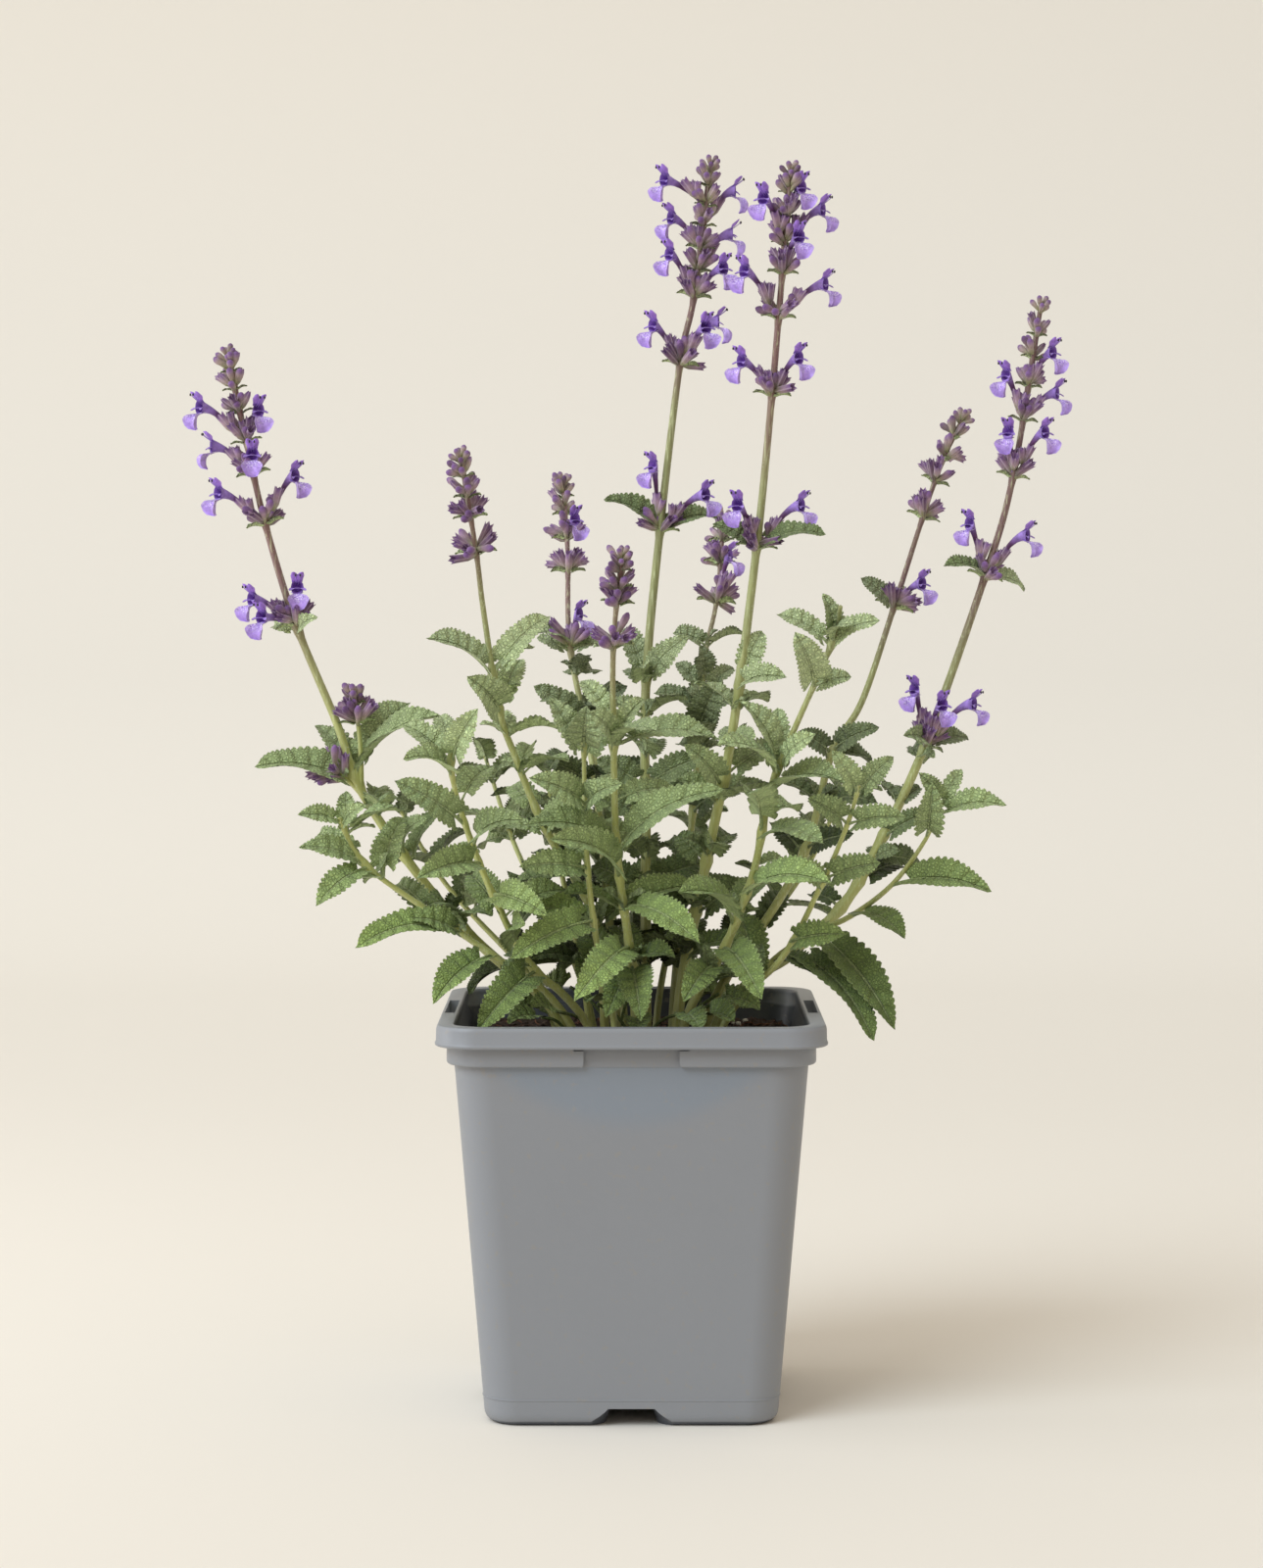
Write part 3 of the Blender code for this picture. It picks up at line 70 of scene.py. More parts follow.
# The plant's layout in millimetres, the same as the solids': route, thickness at foot and tip, the
# height where the leafy stem gives way to the spike, whorls as (height, calyces), mouths of the open
# flowers, and leaves as (height on the stem, tip, width seen from the front)
stems = {
    "tall_left": {
        "route": [(-20, -4, 136), (-38, -6, 147), (-59, -8, 166), (-79, -10, 191), (-94, -13, 215),
                  (-101, -15, 236), (-115, -18, 271), (-125, -20, 305), (-131, -23, 333), (-137, -26, 363)],
        "thick": (4.2, 1.8), "spikeFrom": 266,
        "whorls": [(271, 4), (305, 4), (322, 4), (333, 4), (343, 3), (351, 3), (357, 2)],
        "flowers": [(-150, -28, 343), (-148, -16, 330), (-124, -30, 342), (-128, -34, 327), (-144, -26, 314),
                    (-111, -22, 320), (-133, -24, 278), (-128, -32, 272), (-113, -28, 282)],
        "leaves": [(215, (-127, -25, 223), 8), (220, (-77, -3, 244), 7), (219, (-65, -29, 241), 7),
                   (217, (-109, -5, 236), 4), (191, (-71, -29, 205), 7), (166, (-48, -33, 173), 6),
                   (268, (-107, -30, 273), 5), (268, (-124, -6, 270), 5)],
        "branches": [{"route": [(-93, -13, 212), (-93, -16, 228), (-95, -16, 246)],
                      "whorls": [(237, 4), (244, 3)]},
                     {"route": [(-93, -13, 213), (-103, -16, 221)], "whorls": [(219, 3)]}],
    },
    "bud_left": {
        "route": [(-9, -5, 136), (-13, -11, 169), (-30, -17, 201), (-40, -23, 226), (-45, -30, 242),
                  (-50, -37, 276), (-52, -45, 295), (-57, -52, 328)],
        "thick": (3.6, 1.5), "spikeFrom": 289,
        "whorls": [(295, 4), (307, 4), (314, 3), (321, 3)],
        "flowers": [],
        "leaves": [(253, (-68, -43, 267), 6), (254, (-28, -27, 274), 7), (241, (-54, -47, 253), 12),
                   (242, (-38, -17, 259), 7), (201, (-15, -36, 212), 9), (180, (-32, -38, 190), 8),
                   (207, (-42, -3, 215), 8)],
    },
    "bud_back": {
        "route": [(-5, 10, 135), (-11, 19, 199), (-15, 30, 227), (-22, 41, 262), (-23, 53, 296),
                  (-25, 66, 322)],
        "thick": (3.6, 1.5), "spikeFrom": 257,
        "whorls": [(262, 4), (289, 4), (301, 4), (310, 3), (316, 2)],
        "flowers": [(-18, 50, 306), (-15, 40, 272)],
        "leaves": [(260, (-34, 44, 265), 4), (260, (-10, 44, 265), 4), (235, (-34, 24, 248), 8),
                   (235, (-2, 24, 248), 8), (213, (2, 16, 222), 9), (213, (-29, 18, 222), 9)],
    },
    "bud_front": {
        "route": [(2, -14, 138), (-1, -22, 162), (-5, -32, 194), (-6, -43, 230), (-6, -54, 264),
                  (-3, -66, 295)],
        "thick": (3.8, 1.5), "spikeFrom": 258,
        "whorls": [(264, 4), (278, 4), (284, 4), (290, 3)],
        "flowers": [],
        "leaves": [(230, (-18, -56, 242), 9), (230, (8, -64, 237), 5), (231, (4, -38, 246), 4),
                   (230, (29, -50, 234), 7), (194, (29, -53, 217), 12), (196, (-34, -49, 205), 9),
                   (185, (-25, -64, 201), 13), (174, (22, -62, 167), 12), (160, (-25, -60, 148), 14),
                   (153, (3, -54, 140), 12), (152, (-13, -45, 140), 8), (240, (-17, -42, 252), 6)],
    },
    "tall_mid": {
        "route": [(5, 1, 136), (5, 5, 194), (5, 8, 248), (10, 12, 303), (17, 16, 361), (22, 20, 385),
                  (28, 24, 432)],
        "thick": (4.4, 1.9), "spikeFrom": 297,
        "whorls": [(303, 4), (361, 4), (385, 4), (394, 4), (402, 4), (410, 4), (417, 3), (424, 3)],
        "flowers": [(8, 17, 424), (41, 30, 421), (10, 20, 411), (40, 32, 406), (10, 15, 398), (35, 12, 393),
                    (4, 12, 373), (28, 2, 372), (35, 24, 375), (4, 10, 324), (29, 4, 314)],
        "leaves": [(303, (-9, 7, 314), 5), (303, (30, 17, 308), 5), (252, (19, -4, 266), 8),
                   (252, (-2, 18, 269), 7), (214, (26, -3, 225), 9), (214, (-12, 5, 223), 8),
                   (180, (26, 14, 186), 10), (178, (-14, 8, 186), 10)],
    },
    "tall_right": {
        "route": [(15, -2, 136), (26, -3, 188), (35, -7, 234), (43, -12, 297), (48, -16, 349), (50, -21, 375),
                  (54, -26, 425)],
        "thick": (4.4, 1.9), "spikeFrom": 291,
        "whorls": [(297, 4), (349, 4), (375, 4), (390, 4), (400, 4), (409, 4), (417, 3)],
        "flowers": [(42, -34, 413), (60, -30, 417), (69, -22, 410), (58, -36, 400), (35, -28, 389),
                    (70, -20, 385), (34, -20, 359), (60, -22, 360), (62, -14, 310), (34, -24, 310)],
        "leaves": [(297, (28, -12, 305), 5), (297, (66, -18, 302), 5), (254, (45, -7, 268), 8),
                   (249, (52, -25, 253), 7), (215, (19, -19, 229), 9), (218, (50, 9, 228), 8),
                   (188, (16, 3, 197), 9), (170, (40, -8, 182), 9)],
    },
    "bud_mid": {
        "route": [(14, 17, 134), (21, 25, 196), (25, 38, 245), (27, 52, 261), (31, 67, 278), (34, 82, 309)],
        "thick": (3.4, 1.4), "spikeFrom": 272,
        "whorls": [(278, 4), (292, 4), (300, 3), (305, 2)],
        "flowers": [(40, 68, 293)],
        "leaves": [(247, (16, 43, 256), 5), (247, (37, 47, 254), 5), (232, (31, 20, 251), 12),
                   (230, (12, 28, 236), 7), (203, (33, 16, 214), 9), (206, (6, 36, 216), 9)],
    },
    "bud_right": {
        "route": [(23, 10, 135), (42, 15, 158), (61, 21, 189), (71, 28, 224), (82, 35, 242), (94, 43, 276),
                  (109, 50, 321), (120, 58, 345)],
        "thick": (3.8, 1.5), "spikeFrom": 270,
        "whorls": [(276, 3), (308, 4), (321, 4), (329, 4), (337, 3)],
        "flowers": [(107, 38, 283)],
        "leaves": [(276, (82, 37, 286), 6), (276, (100, 55, 282), 4), (224, (59, 22, 232), 7),
                   (225, (86, 14, 234), 7), (189, (51, 29, 199), 8), (191, (77, 8, 197), 8),
                   (162, (54, 30, 175), 8)],
    },
    "tall_far": {
        "route": [(25, -2, 136), (53, 1, 154), (73, 4, 171), (87, 8, 194), (103, 12, 228), (124, 16, 287),
                  (134, 20, 322), (144, 24, 383)],
        "thick": (4.4, 1.8), "spikeFrom": 222,
        "whorls": [(228, 4), (287, 4), (322, 4), (342, 4), (354, 4), (364, 3), (372, 3)],
        "flowers": [(151, 18, 364), (128, 18, 356), (154, 24, 350), (148, 14, 336), (130, 14, 336),
                    (115, 13, 304), (143, 17, 300), (96, 8, 246), (110, 0, 241), (124, 12, 241)],
        "leaves": [(287, (109, 7, 291), 4), (287, (139, 23, 282), 4), (228, (95, -4, 232), 6),
                   (228, (119, 20, 230), 5), (163, (90, -29, 134), 13), (156, (77, -36, 131), 8),
                   (153, (63, -17, 151), 5), (171, (63, 19, 175), 5), (180, (97, 25, 185), 7),
                   (196, (104, 2, 205), 6)],
        "branches": [{"route": [(64, 3, 163), (76, -5, 169), (90, -14, 181), (101, -19, 197),
                                (106, -22, 210)],
                      "leaves": [(181, (122, -30, 181), 9), (170, (93, -30, 165), 5),
                                 (205, (127, -30, 210), 6), (209, (98, -32, 220), 6),
                                 (209, (113, -18, 221), 5), (198, (102, -34, 216), 9)]}],
    },
    "leafy_front": {
        "route": [(15, -13, 136), (30, -21, 156), (41, -32, 185), (46, -44, 212), (52, -57, 231),
                  (66, -70, 265), (68, -82, 277)],
        "thick": (3.8, 1.6),
        "leaves": [(266, (63, -79, 281), 4), (266, (71, -87, 272), 5), (264, (48, -69, 275), 5),
                   (265, (80, -83, 273), 6), (251, (54, -84, 268), 11), (251, (72, -70, 254), 6),
                   (221, (37, -61, 246), 6), (221, (29, -71, 233), 6), (221, (49, -45, 243), 6),
                   (224, (60, -66, 235), 6), (216, (70, -66, 220), 6), (202, (38, -70, 217), 6),
                   (199, (63, -64, 200), 7), (179, (65, -64, 187), 12), (169, (17, -55, 183), 9),
                   (160, (43, -59, 148), 12), (153, (18, -46, 145), 9)],
    },
    "low_left": {
        "route": [(-16, -14, 136), (-35, -17, 148), (-69, -22, 172), (-91, -28, 189), (-99, -34, 205)],
        "thick": (3.2, 1.5),
        "leaves": [(189, (-112, -37, 196), 6), (191, (-108, -17, 199), 7), (200, (-97, -31, 214), 6),
                   (188, (-106, -45, 177), 7), (167, (-93, -40, 163), 8), (172, (-79, -4, 181), 8),
                   (157, (-67, -42, 144), 7), (204, (-112, -42, 207), 5), (203, (-90, -44, 210), 5)],
    },
    "leafy_left": {
        "route": [(-10, -15, 136), (-33, -23, 152), (-47, -34, 179), (-56, -45, 204), (-60, -57, 223),
                  (-58, -68, 236)],
        "thick": (3.4, 1.5),
        "leaves": [(226, (-51, -76, 243), 9), (225, (-76, -54, 238), 6), (227, (-64, -47, 241), 5),
                   (221, (-74, -75, 228), 6), (204, (-78, -58, 219), 10), (190, (-70, -65, 188), 11),
                   (179, (-29, -57, 175), 10), (197, (-37, -62, 207), 8), (161, (-37, -56, 172), 11),
                   (152, (-51, -52, 136), 15)],
    },
    "leafy_right": {
        "route": [(27, -14, 136), (50, -20, 154), (64, -26, 180), (73, -32, 202), (77, -36, 216)],
        "thick": (3.0, 1.4),
        "leaves": [(214, (68, -44, 228), 7), (214, (88, -40, 226), 7), (203, (60, -38, 212), 8),
                   (203, (92, -42, 206), 8), (184, (84, -34, 190), 9), (182, (52, -40, 190), 8),
                   (162, (72, -36, 166), 9)],
    },
    "leafy_centre": {
        "route": [(-4, -24, 136), (-11, -30, 158), (-15, -34, 190), (-16, -40, 224), (-16, -44, 234)],
        "thick": (3.0, 1.4),
        "leaves": [(230, (-15, -56, 243), 11), (228, (-27, -50, 246), 8), (210, (-33, -56, 220), 9),
                   (210, (-4, -54, 218), 8), (188, (-37, -48, 190), 9), (170, (-40, -52, 160), 11)],
    },
}

# Leafy shoots of the back and the heart: foot, heading in degrees, reach, top height
ruleShoots = {
    "shoot_back_a": ((-12, 16), 132, 62, 222), "shoot_back_b": ((-2, 22), 104, 52, 236),
    "shoot_back_c": ((8, 26), 66, 50, 218), "shoot_back_d": ((26, 22), 34, 62, 210),
    "shoot_back_e": ((-24, 8), 160, 62, 204), "shoot_heart": ((-14, 6), 170, 16, 220),
}

leafRule = {"arch": 0.24, "fold": 0.3, "stalkShare": 0.2, "stalkThick": 0.75}
stemRule = {"corner": 0.62, "shootThick": (3.0, 1.4), "branchThick": (2.2, 1.3), "footLevel": 111.5,
            "spacing": 32.0, "branchSpacing": 20.0, "shootFoot": 136.0}
calyxRule = {"length": 8.6, "radius": 1.35, "budRadius": 1.05, "lateShare": 0.45, "shorter": 0.32,
             "sunk": 0.35, "apart": 42, "turned": 40, "loose": 8, "rise": (0.75, 0.6), "riseLoose": 0.15,
             "toothOff": 1.15, "mouthAbove": 9}
shootRule = {"low": 150.0, "below": 3, "pairs": 4, "length": 26, "shorter": 10, "turn": 16, "wide": 0.42,
             "rise": (0.25, 0.12), "route": ((0.0, 0.0), (0.34, 0.28), (0.72, 0.62), (1.0, 1.0))}
# what the solids' leaves and calyces may have swung by to clear each other, in the order of trying:
# turn, lift and, for leaves, the share of the length
leafSwings = [(0, 0, 1.0), (10, 0, 1.0), (-10, 0, 1.0), (0, 12, 1.0), (0, -12, 1.0), (20, 0, 1.0),
              (-20, 0, 1.0), (0, 0, 0.85), (14, 14, 0.85), (-14, 14, 0.85), (14, -14, 0.85),
              (-14, -14, 0.85), (32, 8, 0.85), (-32, 8, 0.85), (0, 26, 0.8), (0, -26, 0.8),
              (44, 0, 0.75), (-44, 0, 0.75), (60, 12, 0.65), (-60, 12, 0.65), (0, 0, 0.6)]
calyxSwings = [(0, 0), (20, 0), (-20, 0), (0, 22), (40, 0), (-40, 0), (0, -22)]


def unit(vectors):
    return vectors / np.maximum(np.linalg.norm(vectors, axis=-1, keepdims=True), 1e-9)


def across(vectors, axis):  # the unit part of the vectors that is square to the axis
    return unit(vectors - axis * np.sum(vectors * axis, axis=-1, keepdims=True))


def smoothRoute(route, spacing):
    # Catmull-Rom: b + (c - a)t/2 + (2a - 5b + 4c - d)t^2/2 + (3b - a - 3c + d)t^3/2 from b to c
    route = np.array(route, float)
    ends = np.concatenate([[2 * route[0] - route[1]], route, [2 * route[-1] - route[-2]]])
    parts = []
    for a, b, c, d in zip(ends, ends[1:], ends[2:], ends[3:]):
        steps = max(1, round(float(np.linalg.norm(c - b)) / spacing))
        t = np.arange(steps)[:, None] / steps
        parts.append(0.5 * (2 * b + (c - a) * t + (2 * a - 5 * b + 4 * c - d) * t * t
                            + (3 * b - a - 3 * c + d) * t ** 3))
    return np.concatenate([*parts, route[-1:]])


def pointAt(path, z):  # the point of a rising path at a height
    return np.array([np.interp(z, path[:, 2], path[:, i]) for i in range(3)])


def directionAt(path, z):
    return unit(pointAt(path, z + 4) - pointAt(path, z - 4))


def radiusAt(path, thick, z):
    return stemRule["corner"] * float(np.interp(z, [path[0, 2], path[-1, 2]], thick))


def swung(vector, turn, lift, share):  # turned about the upright axis, tipped up and shortened
    rotated = Matrix.Rotation(math.radians(turn), 3, "Z") @ Vector(vector)
    level = Vector((rotated.y, -rotated.x, 0))
    if level.length > 1e-6:
        rotated = Matrix.Rotation(math.radians(lift), 3, level.normalized()) @ rotated
    return np.array(rotated) * share


def sideFrame(axis):
    first = across(up if abs(axis[2]) < 0.9 else toFront, axis)
    return first, np.cross(axis, first)


def outwardAt(axis, angle):  # the direction square to the axis at an angle round it
    first, second = sideFrame(axis)
    return first * math.cos(angle) + second * math.sin(angle)


def nodeAt(name, stem, z):  # the node that a stem belongs to at a height
    split = stem.get("spikeFrom")
    return name if not split else ("spike_" if z > split else "stem_") + name


def shootRoute(foot, heading, reach, height):
    angle = math.radians(heading)
    low = stemRule["shootFoot"]
    return [(foot[0] + math.cos(angle) * reach * share, foot[1] + math.sin(angle) * reach * share,
             low + (height - low) * rise)
            for share, rise in shootRule["route"]]


def shootLeaves(path, name):
    chance = random.Random(seed + sum(ord(c) for c in name))
    low, high, last = shootRule["low"], path[-1][2] - shootRule["below"], shootRule["pairs"] - 1
    leaves = []
    for pair in range(shootRule["pairs"]):
        z = low + (high - low) * pair / last
        base = pointAt(path, z)
        length = shootRule["length"] - shootRule["shorter"] * pair / last
        for side in (0, 180):
            turn = chance.uniform(-shootRule["turn"], shootRule["turn"])
            out = outwardAt(directionAt(path, z), math.radians(90 * (pair % 2) + 45 + side + turn))
            heading = unit(out + up * (shootRule["rise"][0] + shootRule["rise"][1] * pair))
            tip = base + heading * length * chance.uniform(0.9, 1.1)
            leaves.append((base, tip, length * shootRule["wide"]))
    return leaves


def leafPose(base, tip, seenWidth):
    length = float(np.linalg.norm(tip - base))
    width = max(seenWidth, (0.44 if length > 16 else 0.38) * length * (1 - leafRule["stalkShare"]))
    seen = min(0.93, max(0.3, seenWidth / width))
    return width, up * math.sqrt(1 - seen * seen) + toFront * seen


def solidCorners(node):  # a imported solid's own points, in millimetres
    mesh = frame["nodes"][node].data
    corners = np.empty(len(mesh.vertices) * 3, np.float32)
    mesh.vertices.foreach_get("co", corners)
    return corners.reshape(-1, 3).astype(float) / mm


corners = {node: solidCorners(node) for node in frame["nodes"]}


def hasCorner(node, point):
    return float(np.min(np.linalg.norm(corners[node] - point, axis=1))) < 0.06


def seatedLeaf(node, base, tip, width, face, axis, radius):
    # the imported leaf: the first swing whose tip is a corner of the solid
    for turn, lift, share in leafSwings:
        end = base + swung(tip - base, turn, lift, share)
        if hasCorner(node, end):
            return {"node": node, "root": base + across(end - base, axis) * 0.4 * radius, "end": end,
                    "width": width * share, "face": swung(face, turn, 0, 1.0),
                    "stalk": min(leafRule["stalkThick"], 0.6 * radius)}
    return None


def seatedWhorls(node, path, radius, whorls, flowers):
    # open flowers at the nearest whorl below them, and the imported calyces: the first swing whose top, or
    # tooth where open, is a corner of the solid; late goes from 0 at the lowest whorl to 1 at the highest
    rule = calyxRule
    chance = random.Random(seed + len(node) + len(path))
    heights = [z for z, _ in whorls]

    def seated(z, way):
        return pointAt(path, z) + across(way, directionAt(path, z)) * rule["sunk"] * radius

    opened = [0] * len(whorls)
    found = {"flowers": [], "calyces": []}
    for mouth in flowers:
        mouth = np.array(mouth, float)
        z = min(heights, key=lambda h: abs(h - (mouth[2] - rule["mouthAbove"])))
        opened[heights.index(z)] += 1
        found["flowers"].append({"node": node, "root": seated(z, unit(mouth - pointAt(path, z))),
                                 "mouth": mouth, "stem": directionAt(path, z)})
    for number, (z, count) in enumerate(whorls):
        axis = directionAt(path, z)
        late = number / max(1, len(whorls) - 1)
        length = rule["length"] * (1 - rule["shorter"] * late)
        wide = rule["radius"] + (rule["budRadius"] - rule["radius"]) * late
        count = min(count, max(2, 4 - opened[number]))
        for i in range(count):
            turn = 90 + 180 * (i % 2) + rule["apart"] * ((i // 2) - (count / 2 - 1) / 2)
            turn = turn + rule["turned"] * (number % 2) + chance.uniform(-rule["loose"], rule["loose"])
            rise = (rule["rise"][0] + rule["rise"][1] * late
                    + chance.uniform(-rule["riseLoose"], rule["riseLoose"]))
            heading = unit(outwardAt(axis, math.radians(turn)) + axis * rise)
            for turn, lift in calyxSwings:
                way = swung(heading, turn, lift, 1.0)
                root = seated(z, way)
                top = root + way * length
                if late <= rule["lateShare"]:
                    top = top + sideFrame(way)[1] * wide * rule["toothOff"]
                if hasCorner(node, top):
                    found["calyces"].append({"node": node, "root": root, "axis": way, "length": length,
                                             "radius": wide, "late": late})
                    break
    return found


paths, branches = {}, {}
wantedLeaves, whorlPlaces = [], []
calyces, flowers = [], []
shoots = {name: dict(stem) for name, stem in stems.items()}
for name, (foot, heading, reach, height) in ruleShoots.items():
    shoots[name] = {"route": shootRoute(foot, heading, reach, height), "thick": stemRule["shootThick"]}
for name, stem in shoots.items():
    foot = stem["route"][0]
    start = [[foot[0], foot[1], stemRule["footLevel"]]]
    paths[name] = np.concatenate([start, smoothRoute(stem["route"], stemRule["spacing"])])
    for number, branch in enumerate(stem.get("branches", ())):
        branches[name, number] = smoothRoute(branch["route"], stemRule["branchSpacing"])

for name, stem in stems.items():
    groups = []
    if "whorls" in stem:
        groups.append(("spike_" + name, paths[name], stemRule["corner"] * stem["thick"][1],
                       stem["whorls"], stem["flowers"]))
    for number, branch in enumerate(stem.get("branches", ())):
        if "whorls" in branch:
            groups.append(("stem_" + name, branches[name, number],
                           stemRule["corner"] * stemRule["branchThick"][1], branch["whorls"], ()))
    for node, path, radius, whorls, mouths in groups:
        found = seatedWhorls(node, path, radius, whorls, mouths)
        calyces += found["calyces"]
        flowers += found["flowers"]
        whorlPlaces += [{"node": node, "path": path, "z": z, "radius": radius,
                         "late": i / max(1, len(whorls) - 1)} for i, (z, _) in enumerate(whorls)]
    jobs = [(paths[name], job, stem["thick"]) for job in stem["leaves"]]
    for number, branch in enumerate(stem.get("branches", ())):
        jobs += [(branches[name, number], job, stemRule["branchThick"]) for job in branch.get("leaves", ())]
    for path, (z, tip, seenWidth), thick in jobs:
        base, tip = pointAt(path, z), np.array(tip, float)
        width, face = leafPose(base, tip, seenWidth)
        wantedLeaves.append((nodeAt(name, stem, z), base, tip, width, face, directionAt(path, z),
                             radiusAt(path, thick, z)))
for name in ruleShoots:
    for base, tip, width in shootLeaves(paths[name], name):
        outward = unit((tip - base) * np.array([1.0, 1.0, 0.0]))
        wantedLeaves.append((name, base, tip, width, up * 0.85 + outward * 0.4,
                             directionAt(paths[name], base[2]),
                             radiusAt(paths[name], stemRule["shootThick"], base[2])))
leaves = [leaf for leaf in (seatedLeaf(*wanted) for wanted in wantedLeaves) if leaf]
print("layout:", len(leaves), "of", len(wantedLeaves), "leaves,", len(calyces), "calyces,",
      len(flowers), "open flowers")


def parabola(root, bend, end, s):  # root (1 - s)^2 + 2 bend s (1 - s) + end s^2, and its direction
    return (root * (1 - s) ** 2 + bend * 2 * s * (1 - s) + end * s * s,
            unit((bend - root) * (1 - s) + (end - bend) * s))


def gridQuads(rows, columns, closed):  # quads of a grid whose points are numbered row by row
    i = np.arange(rows - 1)[:, None] * columns
    j = np.arange(columns if closed else columns - 1)[None, :]
    k = (j + 1) % columns
    return np.stack([i + j, i + k, i + columns + k, i + columns + j], axis=-1).reshape(-1, 4)


def fan(ring, pole):  # triangles from a ring of points to a pole
    ring = np.asarray(ring)
    return np.stack([ring, np.roll(ring, -1), np.full(len(ring), pole)], axis=-1)


def closedShape(rings, startPole, endPole, along, mark):
    # rings (rows, columns, 3) walked as a tube between two poles; along and mark go row by row
    rows, columns = rings.shape[:2]
    points = np.concatenate([rings.reshape(-1, 3), [startPole, endPole]])
    count = rows * columns
    tris = np.concatenate([fan(np.arange(columns), count)[:, ::-1],
                           fan(np.arange(count - columns, count), count + 1)])
    spread = np.broadcast_to(along, (rows, columns)).ravel()
    turn = np.broadcast_to(np.arange(columns) / columns, (rows, columns)).ravel()
    marks = np.broadcast_to(mark, (rows, columns)).ravel()
    return {"points": points, "quads": gridQuads(rows, columns, True), "tris": tris,
            "uv": np.stack([np.append(spread, [spread[0], spread[-1]]), np.append(turn, [0.5, 0.5])], 1),
            "mark": np.append(marks, [marks[0], marks[-1]])}


def tubeShape(path, radius, around, section=None, reference=toFront):
    # point = path + first * r cos a + second * r sin a, with r the radius times the section at a
    along = unit(np.gradient(path, axis=0))
    first = across(np.broadcast_to(reference, along.shape), along)
    second = np.cross(along, first)
    a = np.linspace(0, 2 * math.pi, around, endpoint=False)
    r = np.asarray(radius)[:, None] * (section(a) if section else np.ones(around))
    rings = path[:, None] + first[:, None] * (r * np.cos(a))[..., None] \
        + second[:, None] * (r * np.sin(a))[..., None]
    reach = np.linspace(0, 1, len(path))[:, None]
    return closedShape(rings, path[0] - along[0] * radius[0] * 0.3, path[-1] + along[-1] * radius[-1] * 0.3,
                       reach, 0.0)


def bladeShape(top, lift, thick, tip, along, breadth):
    # a thin closed blade: the top grid, then the same grid pushed down by its thickness, edges shared
    rows, columns = top.shape[:2]
    under = (top - lift * thick)[:, columns - 2:0:-1]
    rings = np.concatenate([top, under], axis=1)
    around = rings.shape[1]
    count = rows * around
    points = np.concatenate([rings.reshape(-1, 3), [tip]])
    caps = [(j, j + 1, around - j - 1, around - j) for j in range(1, columns - 2)]
    tris = np.concatenate([fan(np.arange(count - around, count), count),
                           [(0, 1, around - 1), (columns - 2, columns - 1, columns)]])
    quads = np.concatenate([gridQuads(rows, around, True), np.array(caps).reshape(-1, 4)])
    u = np.broadcast_to(along, (rows, columns))
    v = np.broadcast_to(breadth, (rows, columns))
    u = np.concatenate([u, u[:, columns - 2:0:-1]], axis=1).ravel()
    v = np.concatenate([v, v[:, columns - 2:0:-1]], axis=1).ravel()
    mark = np.tile(np.concatenate([np.zeros(columns), np.ones(columns - 2)]), rows)
    return {"points": points, "quads": quads, "tris": tris,
            "uv": np.stack([np.append(u, u[-1]), np.append(v, 0.5)], 1), "mark": np.append(mark, 0.0)}


heapKeys = ("points", "quads", "tris", "uv", "mark", "tone", "age")


def heapOf():
    return {"count": 0, **{key: [] for key in heapKeys}}


def pile(heap, shape, tone=0.5, age=0.5):
    count = len(shape["points"])
    added = dict(shape, quads=shape["quads"] + heap["count"], tris=shape["tris"] + heap["count"],
                 tone=np.full(count, tone), age=np.full(count, age))
    for key in heapKeys:
        heap[key].append(added[key])
    heap["count"] += count


def addObject(name, data):
    item = bpy.data.objects.new(name, data)
    bpy.context.scene.collection.objects.link(item)
    return item


def facesOut(mesh):
    bm = bmesh.new()
    bm.from_mesh(mesh)
    bmesh.ops.recalc_face_normals(bm, faces=bm.faces)
    bm.to_mesh(mesh)
    bm.free()


def smoothIn(mesh, material, sharp):  # one material, smooth but for edges sharper than an angle in degrees
    mesh.materials.clear()
    mesh.materials.append(material)
    mesh.shade_smooth()
    mesh.set_sharp_from_angle(angle=math.radians(sharp))


def makePiece(name, heap, material, nodes=(), sharp=60):
    mesh = bpy.data.meshes.new(name)
    whole = {key: np.concatenate(heap[key]) for key in heapKeys}
    mesh.from_pydata(whole["points"] * mm, [], whole["quads"].tolist() + whole["tris"].tolist())
    for key in ("mark", "tone", "age"):
        mesh.attributes.new(key, "FLOAT", "POINT").data.foreach_set("value", whole[key])
    uv = whole["uv"][np.concatenate([whole["quads"].ravel(), whole["tris"].ravel()])]
    mesh.uv_layers.new(name="along").data.foreach_set("uv", uv.ravel())
    facesOut(mesh)
    smoothIn(mesh, material, sharp)
    piece = addObject(name, mesh)
    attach(piece, "root")
    if nodes:
        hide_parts(*nodes)
    return piece


# Leaves

leafLook = {"notch": 0.2, "slant": 0.5, "lobe": 0.15, "pucker": 0.26, "groove": 0.36, "veins": 0.375,
            "thick": 0.42, "wave": 0.06, "waves": 1.4, "droop": 0.06, "folds": (0.7, 2.0),
            "grids": ((11, 16, 9), (7, 12, 7), (0, 8, 5)), "widen": ((7, 12, 17), (1.26, 1.06, 0.82)),
            "stalkSteps": 6, "stalkOverlap": 0.16, "stalkTaper": 0.45}


def leafOutline(q):  # half width as a share: ((q + 0.1) / 1.1)^0.36 (1 - q)^0.6, its peak made 1
    return ((q + 0.1) / 1.1) ** 0.36 * np.maximum(1 - q, 0) ** 0.6 / 0.5568


